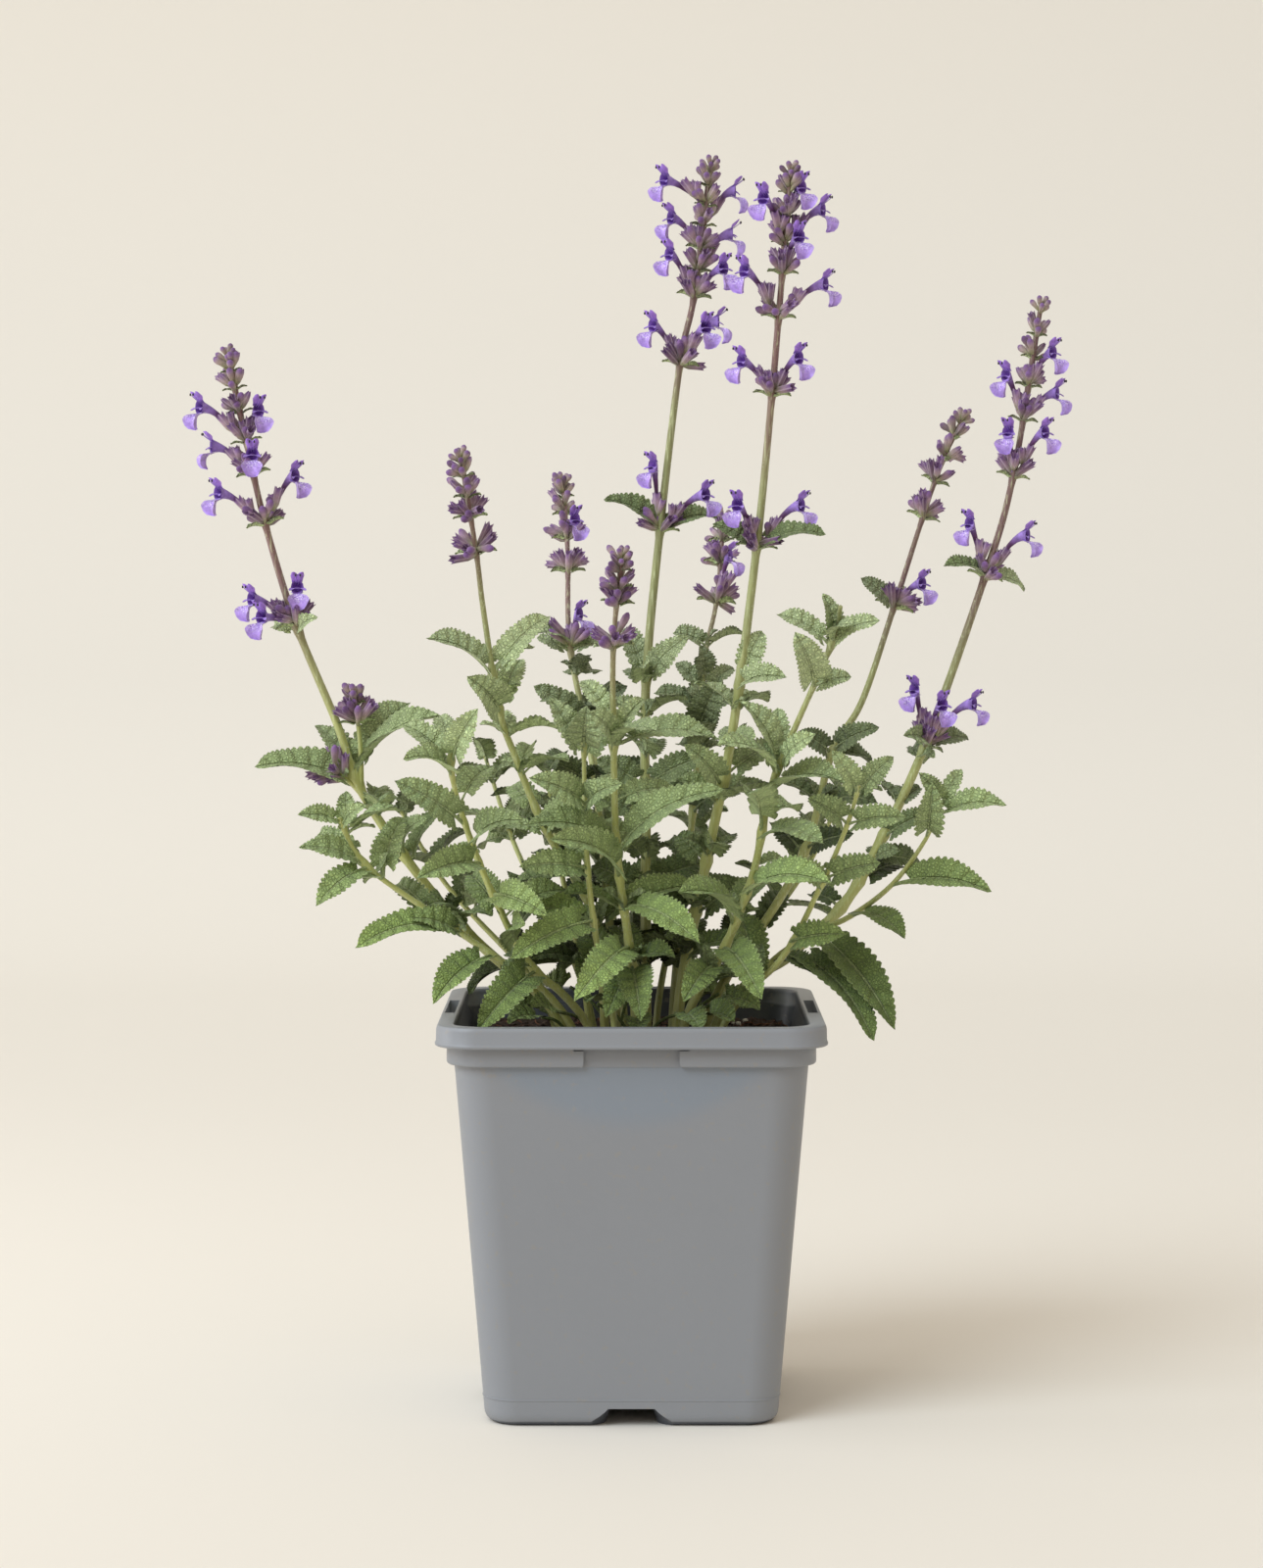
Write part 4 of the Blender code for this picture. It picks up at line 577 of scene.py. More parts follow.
def leafCurve(leaf):  # root, bend and end of the midrib's parabola, the side it arches to, and the length
    root, end = leaf["root"], leaf["end"]
    length = float(np.linalg.norm(end - root))
    normal = across(leaf["face"], unit(end - root))
    return root, (root + end) / 2 + normal * leafRule["arch"] * length, end, normal, length


def leafShape(leaf, chance):
    # a grid along the midrib (q) and across it (v) on a parabola from root to tip; its rows slant
    # forward as the side veins do, and the leaf swells between the veins
    root, bend, end, normal, length = leafCurve(leaf)
    width = leaf["width"] * float(np.interp(leaf["width"], *leafLook["widen"]))
    teeth, columns = next(grid for least, *grid in leafLook["grids"] if width > least)
    rows = 3 * teeth
    q = np.arange(rows)[:, None] / rows
    v = np.linspace(-1, 1, columns)[None, :]
    shift = leafLook["slant"] * abs(v) * q * (1 - q) - leafLook["lobe"] * abs(v) * (1 - q) ** 4
    s = (leafRule["stalkShare"] + (1 - leafRule["stalkShare"]) * (q + shift))[..., None]
    middle, along = parabola(root, bend, end, s)
    lift = across(normal, along)
    side = np.cross(along, lift)
    tooth = (teeth * q) % 1  # each tooth is three rows: a deep notch, a shallow one and its point
    bite = np.where(tooth < 0.1, 1.0, np.where(tooth < 0.5, 0.12, 0.0))
    half = leafOutline(np.maximum(q + np.maximum(shift, 0), 0)) * width / 2
    reach = half * v * np.where(abs(v) > 0.99, 1 - leafLook["notch"] * bite * min(1.0, 12 / teeth), 1)
    fold = leafRule["fold"] * chance.uniform(*leafLook["folds"])
    size = min(1.0, width / 12)
    swell = abs(np.sin(math.pi * teeth * leafLook["veins"] * q))
    wave = np.sin(2 * math.pi * (leafLook["waves"] * q + chance.random()))
    ripple = leafLook["wave"] * width * wave * v * v
    rise = (fold * abs(reach) + leafLook["pucker"] * size * swell * np.sin(math.pi * abs(v))
            - leafLook["groove"] * size * (abs(v) < 0.01) * (1 - q) + ripple * np.sign(v + 1e-6)
            - leafLook["droop"] * length * q ** 3)
    top = middle + side * reach[..., None] + lift * rise[..., None]
    tip = end - normal * leafLook["droop"] * length
    thick = leafLook["thick"] * (0.6 + 0.4 * size)
    return bladeShape(top, lift, thick, tip, q * teeth * leafLook["veins"], (v + 1) / 2)


def stalkShape(leaf):  # the leaf's stalk: a tapering tube along the first part of the same parabola
    root, bend, end, _, _ = leafCurve(leaf)
    steps = leafLook["stalkSteps"]
    s = np.linspace(-0.02, leafRule["stalkShare"] + leafLook["stalkOverlap"], steps)[:, None]
    radius = leaf["stalk"] * np.linspace(1.0, leafLook["stalkTaper"], steps)
    # the reference is no leaf's own direction
    shape = tubeShape(parabola(root, bend, end, s)[0], radius, 6, reference=np.array([0.31, -0.9, 0.28]))
    shape["uv"][:, 1] = 0.5
    return shape


# Stems

stemLook = {"tucked": 0.85, "spacing": 3.2, "around": 16, "mean": 0.42, "corner": 0.05, "swell": 0.35,
            "swellReach": 2.0}


def squareSection(a):  # r = 1 + c cos 4a: four rounded corners with shallow grooves between
    return 1 + stemLook["corner"] / stemLook["mean"] * np.cos(4 * a)


def stemShape(path, thick, joints, low=None, high=None):
    # the whole stem's thickness falls evenly by height and swells at each joint by a bell curve
    foot, top = path[0, 2], path[-1, 2]
    if low:
        path = np.concatenate([[pointAt(path, low)], path[path[:, 2] > low + 0.5]])
    if high:
        path = np.concatenate([path[path[:, 2] < high - 0.5], [pointAt(path, high)]])
    radius = stemLook["mean"] * np.interp(path[:, 2], [foot, top], thick)
    for z in joints:
        radius = radius * (1 + stemLook["swell"] * np.exp(-((path[:, 2] - z) / stemLook["swellReach"]) ** 2))
    if low:
        radius[0] *= stemLook["tucked"]  # so the purple part starts inside the green one
    return tubeShape(path, radius, stemLook["around"], section=squareSection)


# Calyces, buds and open flowers

calyxLook = {"columns": 10, "rib": 0.06,
             "open": {"level": (0.0, 0.3, 0.72, 0.94, 0.86), "wide": (0.35, 0.92, 1.0, 1.02, 0.72),
                      "tooth": (0, 0, 0, 0.13, 0), "flare": (0, 0, 0, 0.08, 0), "pole": 0.5},
             "closed": {"level": (0.0, 0.26, 0.6, 0.86, 0.97), "wide": (0.35, 0.88, 1.05, 0.85, 0.40),
                        "tooth": (0, 0, 0, 0, 0.08), "flare": (0, 0, 0, 0, 0), "pole": 0.97}}


def calyxShape(root, axis, length, radius, isOpen):
    # rings of ten points up a ribbed cup; every second point of the mouth runs on into a tooth
    first, second = sideFrame(axis)
    form = calyxLook["open" if isOpen else "closed"]
    level, wide, tooth, flare = (np.array(form[key])[:, None] for key in ("level", "wide", "tooth", "flare"))
    column = np.arange(calyxLook["columns"])
    a = column[:, None] * 2 * math.pi / calyxLook["columns"]
    isRib = (column % 2).astype(float)
    height = length * (level + tooth * isRib)
    r = radius * (wide + flare * isRib) * (1 + calyxLook["rib"] * (2 * isRib - 1))
    ring = first * np.cos(a) + second * np.sin(a)
    rings = root + axis * height[..., None] + ring[None] * r[..., None]
    return closedShape(rings, root - axis * 0.3, root + axis * length * form["pole"], level, isRib[None, :])


corollaLook = {"cupLength": (0.85, 0.95), "cupShare": 0.7, "cupWide": 1.1, "around": 12, "back": 4.4,
               "raise": 0.9, "turned": 0.6, "tall": 1.15, "wide": 0.95,
               "t": [0.08, 0.25, 0.45, 0.62, 0.74, 0.83, 0.9, 0.96, 1.0, 0.985, 0.88, 0.74],
               "r": [0.6, 0.68, 0.8, 1.02, 1.28, 1.58, 1.88, 2.16, 2.35, 2.15, 1.5, 0.8],
               "inside": [0, 0, 0, 0, 0, 0, 0, 0, 0.3, 0.6, 1, 1]}


def corollaTube(flower):
    # a tube on a parabola from calyx to mouth: it rises first, and its end points straight out
    root, mouth, out = flower["root"], flower["mouth"], flower["out"]
    reach = float(np.linalg.norm(mouth - root))
    bend = mouth - out * min(0.5 * reach, 0.7 * max(float((mouth - root) @ out), 2.5))
    t, r, inside = (np.array(corollaLook[key], float) for key in ("t", "r", "inside"))
    s = t[:, None]
    path, along = parabola(root, bend, mouth, s)
    high = across(np.broadcast_to(up, along.shape), along)
    side = np.cross(along, high)
    a = np.linspace(0, 2 * math.pi, corollaLook["around"], endpoint=False)[None, :, None]
    rings = path[:, None] + (high[:, None] * np.cos(a) * corollaLook["tall"]
                             + side[:, None] * np.sin(a) * corollaLook["wide"]) * r[:, None, None]
    return closedShape(rings, path[0] - along[0] * 0.4, path[-1] - along[-1] * 0.6, s, inside[:, None])


lipLook = {"spacing": 0.8, "opens": 1.8, "deep": 0.8, "bow": -0.55}


def lipShape(flower, curve, half, cup, thick, frill, columns, spread=0.0):
    # a blade along a curve given as (out, up) steps from the mouth, its half width read from a list and
    # waved at the edge; across it runs an arc that opens from flat at the throat to the cup's angle
    mouth, out = flower["mouth"], flower["out"]
    side = np.cross(up, out)
    curve = smoothRoute([(a, 0.0, b) for a, b in curve], lipLook["spacing"])
    share = np.linspace(0, 1, len(curve))
    middle = mouth + out * curve[:, :1] + up * curve[:, 2:] + side * (spread * share)[:, None]
    width = np.interp(share, np.linspace(0, 1, len(half)), half)[:, None]
    along = unit(np.gradient(middle, axis=0))
    lift = np.cross(along, np.broadcast_to(side, along.shape))
    lift = unit(lift * np.sign((lift @ (out + 0.6 * up)).sum()))
    v = np.linspace(-1, 1, columns)[None, :]
    share = share[:, None]
    edge = 1 + frill * np.cos(9 * share) * (abs(v) > 0.99)
    angle = abs(cup) * np.clip(share * lipLook["opens"], 0.1, 1)
    wide = np.sin(angle * v) / np.sin(np.minimum(angle, math.pi / 2))
    deep = math.copysign(lipLook["deep"], cup) * (1 - np.cos(angle * v)) * width
    bow = lipLook["bow"] * width * v * v * share + frill * 2 * np.cos(4 * math.pi * v) * (share > 0.9)
    top = (middle[:, None] + side * (wide * width * edge)[..., None]
           + lift[:, None] * deep[..., None] + along[:, None] * bow[..., None])
    return bladeShape(top, lift[:, None], thick, middle[-1] + along[-1] * 0.4, share, (v + 1) / 2)


lowerLip = {"curve": [(-1.4, -1.6), (0.1, -2.2), (1.1, -2.9), (1.8, -4.0), (2.0, -5.3), (1.9, -6.5),
                      (1.4, -7.5)],
            "half": [1.9, 1.8, 1.6, 2.1, 2.95, 3.3, 3.15, 2.2], "cup": 1.45, "thick": 0.28, "frill": 0.13,
            "columns": 9}
upperLip = {"curve": [(-1.4, 1.5), (0.2, 2.4), (1.4, 3.6), (2.3, 5.0)], "half": [1.6, 1.6, 1.55, 1.45, 0.75],
            "cup": -1.5, "thick": 0.28, "frill": 0.03, "columns": 5, "spread": 1.45}
sideLobe = {"curve": [(-0.8, -0.2), (0.5, -0.3), (1.3, -0.9)], "half": [1.1, 1.15, 0.7], "cup": 0.7,
            "thick": 0.22, "frill": 0.03, "columns": 5, "spread": 2.6}
thread = {"steps": ((-1.6, 0.9, 0.4), (0.3, 2.2, 0.5), (1.7, 3.2, 0.6), (2.9, 4.2, 0.8)), "radius": 0.12,
          "grain": (0.12, 0.34, 0.32, 0.12), "grainLevels": (-0.5, -0.2, 0.15, 0.45)}
sprayLook = {"reach": 13.5, "longest": 4.5, "thick": 0.5, "sag": 0.4, "sisters": 3, "apart": 0.55,
             "size": (5.6, 7.4), "cupRadius": 1.3, "buds": 0.4, "budShare": 0.95, "budRadius": 1.25}


def addSpray(flower, way, axis, cups, chance):
    # a short stalk carries the flower's calyx away from the stem, with sister calyces and buds beside it
    root = flower["root"]
    stalk = min(max(float(np.linalg.norm(way)) - sprayLook["reach"], 0.0), sprayLook["longest"])
    base = root + unit(way) * stalk
    if stalk > 1:
        line = smoothRoute([root, (root + base) / 2 - up * sprayLook["sag"], base], 1.5)
        pile(cups, tubeShape(line, np.full(len(line), sprayLook["thick"]), 6), 0.2, 0.2)
    side = np.cross(up, flower["out"])
    for i in range(sprayLook["sisters"]):
        turn = side * (i - 1) * sprayLook["apart"] * chance.uniform(0.7, 1.3)
        lean = unit(axis + turn + flower["stem"] * chance.uniform(0.1, 0.9) - flower["out"] * 0.25)
        size = chance.uniform(*sprayLook["size"])
        if chance.random() < sprayLook["buds"]:
            bud = budShape(base, lean, size * sprayLook["budShare"], sprayLook["budRadius"])
            pile(cups, bud, chance.random(), 0.5)
        else:
            pile(cups, calyxShape(base, lean, size, sprayLook["cupRadius"], True), chance.random(), 0.3)
    return base


def addFlower(seated, petals, cups, darks, chance):
    # a spray with its calyx, then the tube, the lower lip, and on each hand half the upper lip, a side
    # lobe and a thread with its dark grain of pollen; the ages tell petalSkin which part it is
    out = unit((seated["mouth"] - seated["root"]) * np.array([1.0, 1.0, 0.0]))
    out = unit(out + toFront * corollaLook["turned"] * abs(out[0]))  # flowers turn half to the front
    mouth = seated["mouth"] - out * corollaLook["back"] + up * corollaLook["raise"]
    flower = dict(seated, out=out, mouth=mouth)
    way = mouth - flower["root"]
    axis = unit(unit(way) + flower["stem"] * 0.6)
    flower["root"] = addSpray(flower, way, axis, cups, chance)
    far = float(np.linalg.norm(mouth - flower["root"]))
    length = calyxRule["length"] * chance.uniform(*corollaLook["cupLength"])
    length = min(length, corollaLook["cupShare"] * far)
    cup = calyxShape(flower["root"], axis, length, calyxRule["radius"] * corollaLook["cupWide"], True)
    pile(cups, cup, chance.random(), 0.2)
    tone = chance.random()
    pile(petals, corollaTube(flower), tone, 0.35)
    pile(petals, lipShape(flower, **lowerLip), tone, 1.0)
    for hand in (-1, 1):
        pile(petals, lipShape(flower, **dict(upperLip, spread=upperLip["spread"] * hand)), tone, 0.0)
        pile(petals, lipShape(flower, **dict(sideLobe, spread=sideLobe["spread"] * hand)), tone, 0.3)
        side = np.cross(up, out) * hand
        line = smoothRoute([mouth + out * a + up * b + side * c for a, b, c in thread["steps"]], 0.8)
        pile(petals, tubeShape(line, np.full(len(line), thread["radius"]), 4), tone, 0.6)
        grain = line[-1] + up * np.array(thread["grainLevels"])[:, None]
        pile(darks, tubeShape(grain, np.array(thread["grain"]), 6, reference=out))


budLook = {"columns": 8, "level": (0.0, 0.2, 0.42, 0.64, 0.82, 0.94),
           "wide": (0.35, 0.62, 0.72, 0.98, 0.95, 0.55)}


def budShape(root, axis, length, radius):  # a club: rings along the axis from a narrow foot to a round top
    first, second = sideFrame(axis)
    t, r = (np.array(budLook[key])[:, None] for key in ("level", "wide"))
    a = np.linspace(0, 2 * math.pi, budLook["columns"], endpoint=False)
    rings = (root + axis * (length * t)[..., None] + first * (radius * r * np.cos(a))[..., None]
             + second * (radius * r * np.sin(a))[..., None])
    return closedShape(rings, root - axis * 0.3, root + axis * length, t, 0.2)


# Shader helpers and shared effects


def addNode(tree, kind, values=None, **settings):  # sockets among the values are linked, the rest set
    item = tree.nodes.new("ShaderNode" + kind)
    for key, value in settings.items():
        setattr(item, key, value)
    for key, value in (values or {}).items():
        if isinstance(value, bpy.types.NodeSocket):
            tree.links.new(value, item.inputs[key])
        else:
            item.inputs[key].default_value = value
    return item


def calc(tree, operation, *values):
    return addNode(tree, "Math", dict(enumerate(values)), operation=operation).outputs[0]


def product(tree, first, *factors):
    for factor in factors:
        first = calc(tree, "MULTIPLY", first, factor)
    return first


def largest(tree, first, *others):
    for other in others:
        first = calc(tree, "MAXIMUM", first, other)
    return first


def blend(tree, factor, a, b, mode="MIX"):
    return addNode(tree, "Mix", {0: factor, 6: a, 7: b}, data_type="RGBA", blend_type=mode).outputs[2]


def layers(tree, base, *steps):  # each step lays its colour over the base where its mask is 1
    for mask, tint in steps:
        base = blend(tree, mask, base, tint)
    return base


def ramp(tree, value, low, high):  # 0 to 1 between two values, eased at both ends
    return addNode(tree, "MapRange", {0: value, 1: low, 2: high}, interpolation_type="SMOOTHSTEP").outputs[0]


def between(tree, share, low, high):  # low to high as the share goes from 0 to 1
    return addNode(tree, "MapRange", {0: share, 3: low, 4: high}).outputs[0]


def noise(tree, places, scale, detail):
    return addNode(tree, "TexNoise", {"Vector": places, "Scale": scale, "Detail": detail}).outputs[0]


def greyTimes(tree, base, value):  # a colour made darker or lighter by one value
    grey = addNode(tree, "CombineColor", {0: value, 1: value, 2: value}).outputs[0]
    return blend(tree, 1.0, base, grey, "MULTIPLY")


def attributes(tree, *names):
    return [addNode(tree, "Attribute", attribute_name=name).outputs["Fac"] for name in names]


def alongAndAcross(tree):  # the share of the way along a shape and across it
    return addNode(tree, "SeparateXYZ", {0: addNode(tree, "UVMap", uv_map="along").outputs[0]}).outputs[:2]


def offMiddle(tree, breadth):  # 0 down the middle of a blade and 0.5 at its edges
    return calc(tree, "ABSOLUTE", calc(tree, "SUBTRACT", breadth, 0.5))


def newGroup(name, inputs, outputs):
    group = bpy.data.node_groups.new(name, "ShaderNodeTree")
    for label, value in inputs.items():
        kind = "Vector" if value is None else "Color" if isinstance(value, tuple) else "Float"
        socket = group.interface.new_socket(label, in_out="INPUT", socket_type="NodeSocket" + kind)
        if value is not None:
            socket.default_value = value
    for label, kind in outputs.items():
        group.interface.new_socket(label, in_out="OUTPUT", socket_type="NodeSocket" + kind)
    return group, group.nodes.new("NodeGroupInput").outputs, group.nodes.new("NodeGroupOutput").inputs


def colourDriftGroup():  # colour times 1 - amount to 1 + amount, by a soft cloud
    group, given, out = newGroup("colourDrift", {"Vector": None, "Colour": (1, 1, 1, 1), "Scale": 100.0,
                                                 "Amount": 0.2}, {"Colour": "Color"})
    cloud = noise(group, given["Vector"], given["Scale"], 3.0)
    swing = product(group, calc(group, "SUBTRACT", cloud, 0.5), 3.0, given["Amount"])
    group.links.new(greyTimes(group, given["Colour"], calc(group, "ADD", swing, 1.0)), out["Colour"])
    return group


def toneShadeGroup():  # colour times low to high, by a piece's own tone
    group, given, out = newGroup("toneShade", {"Colour": (1, 1, 1, 1), "Tone": 0.5, "Low": 0.8, "High": 1.2},
                                 {"Colour": "Color"})
    shade = between(group, given["Tone"], given["Low"], given["High"])
    group.links.new(greyTimes(group, given["Colour"], shade), out["Colour"])
    return group


def veinNetGroup():
    # side veins where the count along the leaf is whole, the midrib down the middle, and a net of
    # fine veins between raised cells
    group, given, out = newGroup("veinNet", {"Vector": None, "Along": 0.0, "Breadth": 0.5, "Cell": 900.0},
                                 dict.fromkeys(("Side", "Rib", "Veins", "Cells", "Height"), "Float"))
    off = calc(group, "PINGPONG", given["Along"], 0.5)
    side = ramp(group, off, 0.13, 0.02)
    rib = ramp(group, offMiddle(group, given["Breadth"]), 0.05, 0.02)
    net = addNode(group, "TexVoronoi", {"Vector": given["Vector"], "Scale": given["Cell"]},
                  feature="DISTANCE_TO_EDGE").outputs["Distance"]
    cells = ramp(group, net, 0.0, 0.25)
    raised = calc(group, "ADD", product(group, cells, 0.5), ramp(group, off, 0.0, 0.35))
    made = {"Side": side, "Rib": rib, "Veins": largest(group, product(group, side, 0.7), rib),
            "Cells": cells, "Height": calc(group, "SUBTRACT", raised, rib)}
    for name, value in made.items():
        group.links.new(value, out[name])
    return group


def fineGrainGroup():  # two sizes of noise added, for skins, plastic and peat
    group, given, out = newGroup("fineGrain", {"Vector": None, "Scale": 500.0, "Coarse": 0.2},
                                 {"Height": "Float"})
    wide = noise(group, given["Vector"], product(group, given["Scale"], given["Coarse"]), 2.0)
    fine = noise(group, given["Vector"], given["Scale"], 4.0)
    group.links.new(calc(group, "ADD", fine, wide), out["Height"])
    return group


colourDrift, toneShade = colourDriftGroup(), toneShadeGroup()
veinNet, fineGrain = veinNetGroup(), fineGrainGroup()


def placed(tree, group, **values):
    return addNode(tree, "Group", values, node_tree=group).outputs


def drifted(tree, places, base, scale, amount):
    return placed(tree, colourDrift, Vector=places, Colour=base, Scale=scale, Amount=amount)["Colour"]


def toned(tree, base, tone, low, high):
    return placed(tree, toneShade, Colour=base, Tone=tone, Low=low, High=high)["Colour"]


def grained(tree, places, scale, coarse):
    return placed(tree, fineGrain, Vector=places, Scale=scale, Coarse=coarse)["Height"]


def newMaterial(name, roughness, **fixed):
    material = bpy.data.materials.new(name)
    material.use_nodes = True
    tree = material.node_tree
    shader = tree.nodes["Principled BSDF"]
    shader.inputs["Roughness"].default_value = roughness
    for key, value in fixed.items():
        shader.inputs[key.replace("_", " ")].default_value = value
    return material, tree, shader, addNode(tree, "TexCoord").outputs["Object"]


def finish(tree, shader, base, height, depth, strength=1.0):  # the colour and the fine relief go in
    tree.links.new(base, shader.inputs["Base Color"])
    relief = addNode(tree, "Bump", {"Height": height, "Distance": depth, "Strength": strength})
    tree.links.new(relief.outputs[0], shader.inputs["Normal"])


def colour(r, g, b):  # from a screen colour of 0 to 255 to the renderer's own
    return (*[((c / 255 + 0.055) / 1.055) ** 2.4 for c in (r, g, b)], 1.0)


# the dark green laid in the leaf's grooves and cell gaps is painted shade
leafColours = {"young": colour(168, 182, 134), "middle": colour(150, 166, 116), "old": colour(134, 154, 90),
               "vein": colour(186, 198, 146), "under": colour(162, 178, 128), "down": colour(212, 221, 194),
               "creaseShade": colour(72, 96, 50)}
leafFinish = {"tone": (0.12, 1.74), "drift": (160.0, 0.2), "cell": 850.0, "depth": 0.0009, "down": 2600.0}


def leafSkin():
    # painted shade in the grooves of the veins and between the quilted cells on top, raised pale veins
    # beneath, a pale rim, and pale down when young
    look = leafFinish
    material, tree, shader, places = newMaterial("leafSkin", 0.5, Sheen_Weight=0.08, Specular_IOR_Level=0.22)
    along, breadth = alongAndAcross(tree)
    age, tone, under = attributes(tree, "age", "tone", "mark")
    net = placed(tree, veinNet, Vector=places, Along=along, Breadth=breadth, Cell=look["cell"])
    base = layers(tree, leafColours["young"], (ramp(tree, age, 0.0, 0.5), leafColours["middle"]),
                  (ramp(tree, age, 0.5, 1.0), leafColours["old"]),
                  (product(tree, under, 0.6), leafColours["under"]))
    # painted shade: by their tone the leaves are darker deep in the plant and lighter at the front
    base = toned(tree, base, tone, *look["tone"])
    base = drifted(tree, places, base, *look["drift"])
    gaps = calc(tree, "SUBTRACT", 1.0, net["Cells"])
    # painted shade: darker in the gaps between the cells and along the side veins
    creaseShadeMask = largest(tree, product(tree, gaps, 0.45), product(tree, net["Side"], 0.3))
    rim = ramp(tree, product(tree, offMiddle(tree, breadth), 2.0), 0.9, 1.0)
    pale = largest(tree, product(tree, net["Rib"], 0.45), product(tree, net["Veins"], under, 0.5),
                   product(tree, rim, 0.4))
    downy = product(tree, ramp(tree, noise(tree, places, look["down"], 1.0), 0.38, 0.85),
                    largest(tree, calc(tree, "SUBTRACT", 0.45, age), 0.0))
    paintedCreaseShade = product(tree, creaseShadeMask, calc(tree, "SUBTRACT", 1.0, under), 0.75)
    base = layers(tree, base, (paintedCreaseShade, leafColours["creaseShade"]), (pale, leafColours["vein"]),
                  (downy, leafColours["down"]))
    finish(tree, shader, base, product(tree, net["Height"], between(tree, under, 1.0, -0.8)), look["depth"])
    return material


stemColours = {"low": colour(178, 182, 110), "green": colour(146, 150, 98), "top": colour(122, 92, 88),
               "pale": colour(204, 212, 166)}
stemFinish = {"tone": (0.85, 1.15), "greenFrom": (0.19, 0.28), "cloud": 30.0, "uneven": 0.06,
              "turning": (-0.02, 0.04), "streaks": (1500, 1500, 60), "streakShare": 0.6,
              "drift": (90.0, 0.14), "relief": (0.0003, 0.5)}


def stemSkin():
    # yellow green at the foot, purple brown above the height given as age, with fine pale streaks
    look = stemFinish
    material, tree, shader, places = newMaterial("stemSkin", 0.5, Sheen_Weight=0.2, Sheen_Roughness=0.5)
    height = addNode(tree, "SeparateXYZ", {0: places}).outputs[2]
    tone, age = attributes(tree, "tone", "age")
    cloud = calc(tree, "SUBTRACT", noise(tree, places, look["cloud"], 2.0), 0.5)
    cloud = product(tree, cloud, look["uneven"])
    reached = calc(tree, "ADD", calc(tree, "SUBTRACT", height, age), cloud)
    base = layers(tree, stemColours["low"], (ramp(tree, height, *look["greenFrom"]), stemColours["green"]),
                  (ramp(tree, reached, *look["turning"]), stemColours["top"]))
    base = toned(tree, base, tone, *look["tone"])
    drawnOut = addNode(tree, "Mapping", {"Vector": places, "Scale": look["streaks"]}).outputs[0]
    streak = noise(tree, drawnOut, 1.0, 2.0)
    pale = product(tree, ramp(tree, streak, 0.5, 0.75), look["streakShare"])
    base = drifted(tree, places, blend(tree, pale, base, stemColours["pale"]), *look["drift"])
    finish(tree, shader, base, streak, *look["relief"])
    return material


calyxColours = {"base": colour(160, 162, 118), "side": colour(170, 142, 158), "late": colour(178, 160, 152),
                "dark": colour(72, 42, 78), "rib": colour(200, 180, 198), "tip": colour(120, 84, 144)}
calyxFinish = {"darkest": 0.6, "ribShare": 0.55, "drift": (700.0, 0.3), "grain": (2500.0, 0.3),
               "relief": (0.0002, 0.6)}


def calyxSkin():
    # green at the foot, violet at the teeth, pale down the ribs; age goes from the stem's foot to its top
    look = calyxFinish
    material, tree, shader, places = newMaterial("calyxSkin", 0.62, Sheen_Weight=0.15, Specular_IOR_Level=0.3)
    along, _ = alongAndAcross(tree)
    rib, tone, age = attributes(tree, "mark", "tone", "age")
    side = blend(tree, ramp(tree, age, 0.4, 1.0), calyxColours["side"], calyxColours["late"])
    base = layers(tree, calyxColours["base"], (ramp(tree, along, 0.05, 0.6), side),
                  (ramp(tree, along, 0.55, 1.0), calyxColours["tip"]),
                  (product(tree, ramp(tree, tone, 0.3, 1.0), look["darkest"]), calyxColours["dark"]),
                  (product(tree, ramp(tree, rib, 0.55, 1.0), look["ribShare"]), calyxColours["rib"]))
    finish(tree, shader, drifted(tree, places, base, *look["drift"]), grained(tree, places, *look["grain"]),
           *look["relief"])
    return material


petalColours = {"upper": colour(156, 116, 212), "tube": colour(156, 126, 206), "lower": colour(178, 147, 226),
                "throat": colour(96, 48, 150), "fleck": colour(228, 216, 246), "dark": colour(88, 36, 158),
                "foot": colour(88, 48, 92)}
petalFinish = {"dots": 1300.0, "dotShare": 0.65, "flecks": 2400.0, "edgeShare": 0.15, "throatShare": 0.9,
               "drift": (520.0, 0.42), "grain": (1800.0, 0.4), "relief": (0.00025, 0.5)}


def petalSkin():
    # age tells the parts of a flower: 0 upper lip, 0.35 tube, 1 lower lip; mark is 1 inside the tube
    look = petalFinish
    material, tree, shader, places = newMaterial("petalSkin", 0.5, Sheen_Weight=0.1, Specular_IOR_Level=0.3)
    along, breadth = alongAndAcross(tree)
    inside, age = attributes(tree, "mark", "age")
    isLip = ramp(tree, age, 0.7, 0.95)
    isTube = product(tree, ramp(tree, age, 0.31, 0.34), ramp(tree, age, 0.42, 0.38))
    notTube = calc(tree, "SUBTRACT", 1.0, isTube)
    near = ramp(tree, calc(tree, "SUBTRACT", along, product(tree, isLip, 0.3)), 0.6, 0.1)
    dots = addNode(tree, "TexVoronoi", {"Vector": places, "Scale": look["dots"]}).outputs["Distance"]
    flecks = noise(tree, places, look["flecks"], 1.0)
    edge = product(tree, offMiddle(tree, breadth), 2.0)
    dark = product(tree, ramp(tree, dots, 0.42, 0.25), near, notTube, look["dotShare"])
    rim = product(tree, ramp(tree, edge, 0.55, 1.0), look["edgeShare"], notTube)
    base = layers(tree, petalColours["upper"], (ramp(tree, age, 0.0, 0.35), petalColours["tube"]),
                  (isLip, petalColours["lower"]),
                  (product(tree, isTube, ramp(tree, along, 0.8, 0.4)), petalColours["foot"]),
                  (dark, petalColours["dark"]),
                  (product(tree, ramp(tree, flecks, 0.5, 0.62), near, isLip), petalColours["fleck"]),
                  (product(tree, inside, isTube, look["throatShare"]), petalColours["throat"]),
                  (rim, petalColours["fleck"]))
    finish(tree, shader, drifted(tree, places, base, *look["drift"]), grained(tree, places, *look["grain"]),
           *look["relief"])
    return material


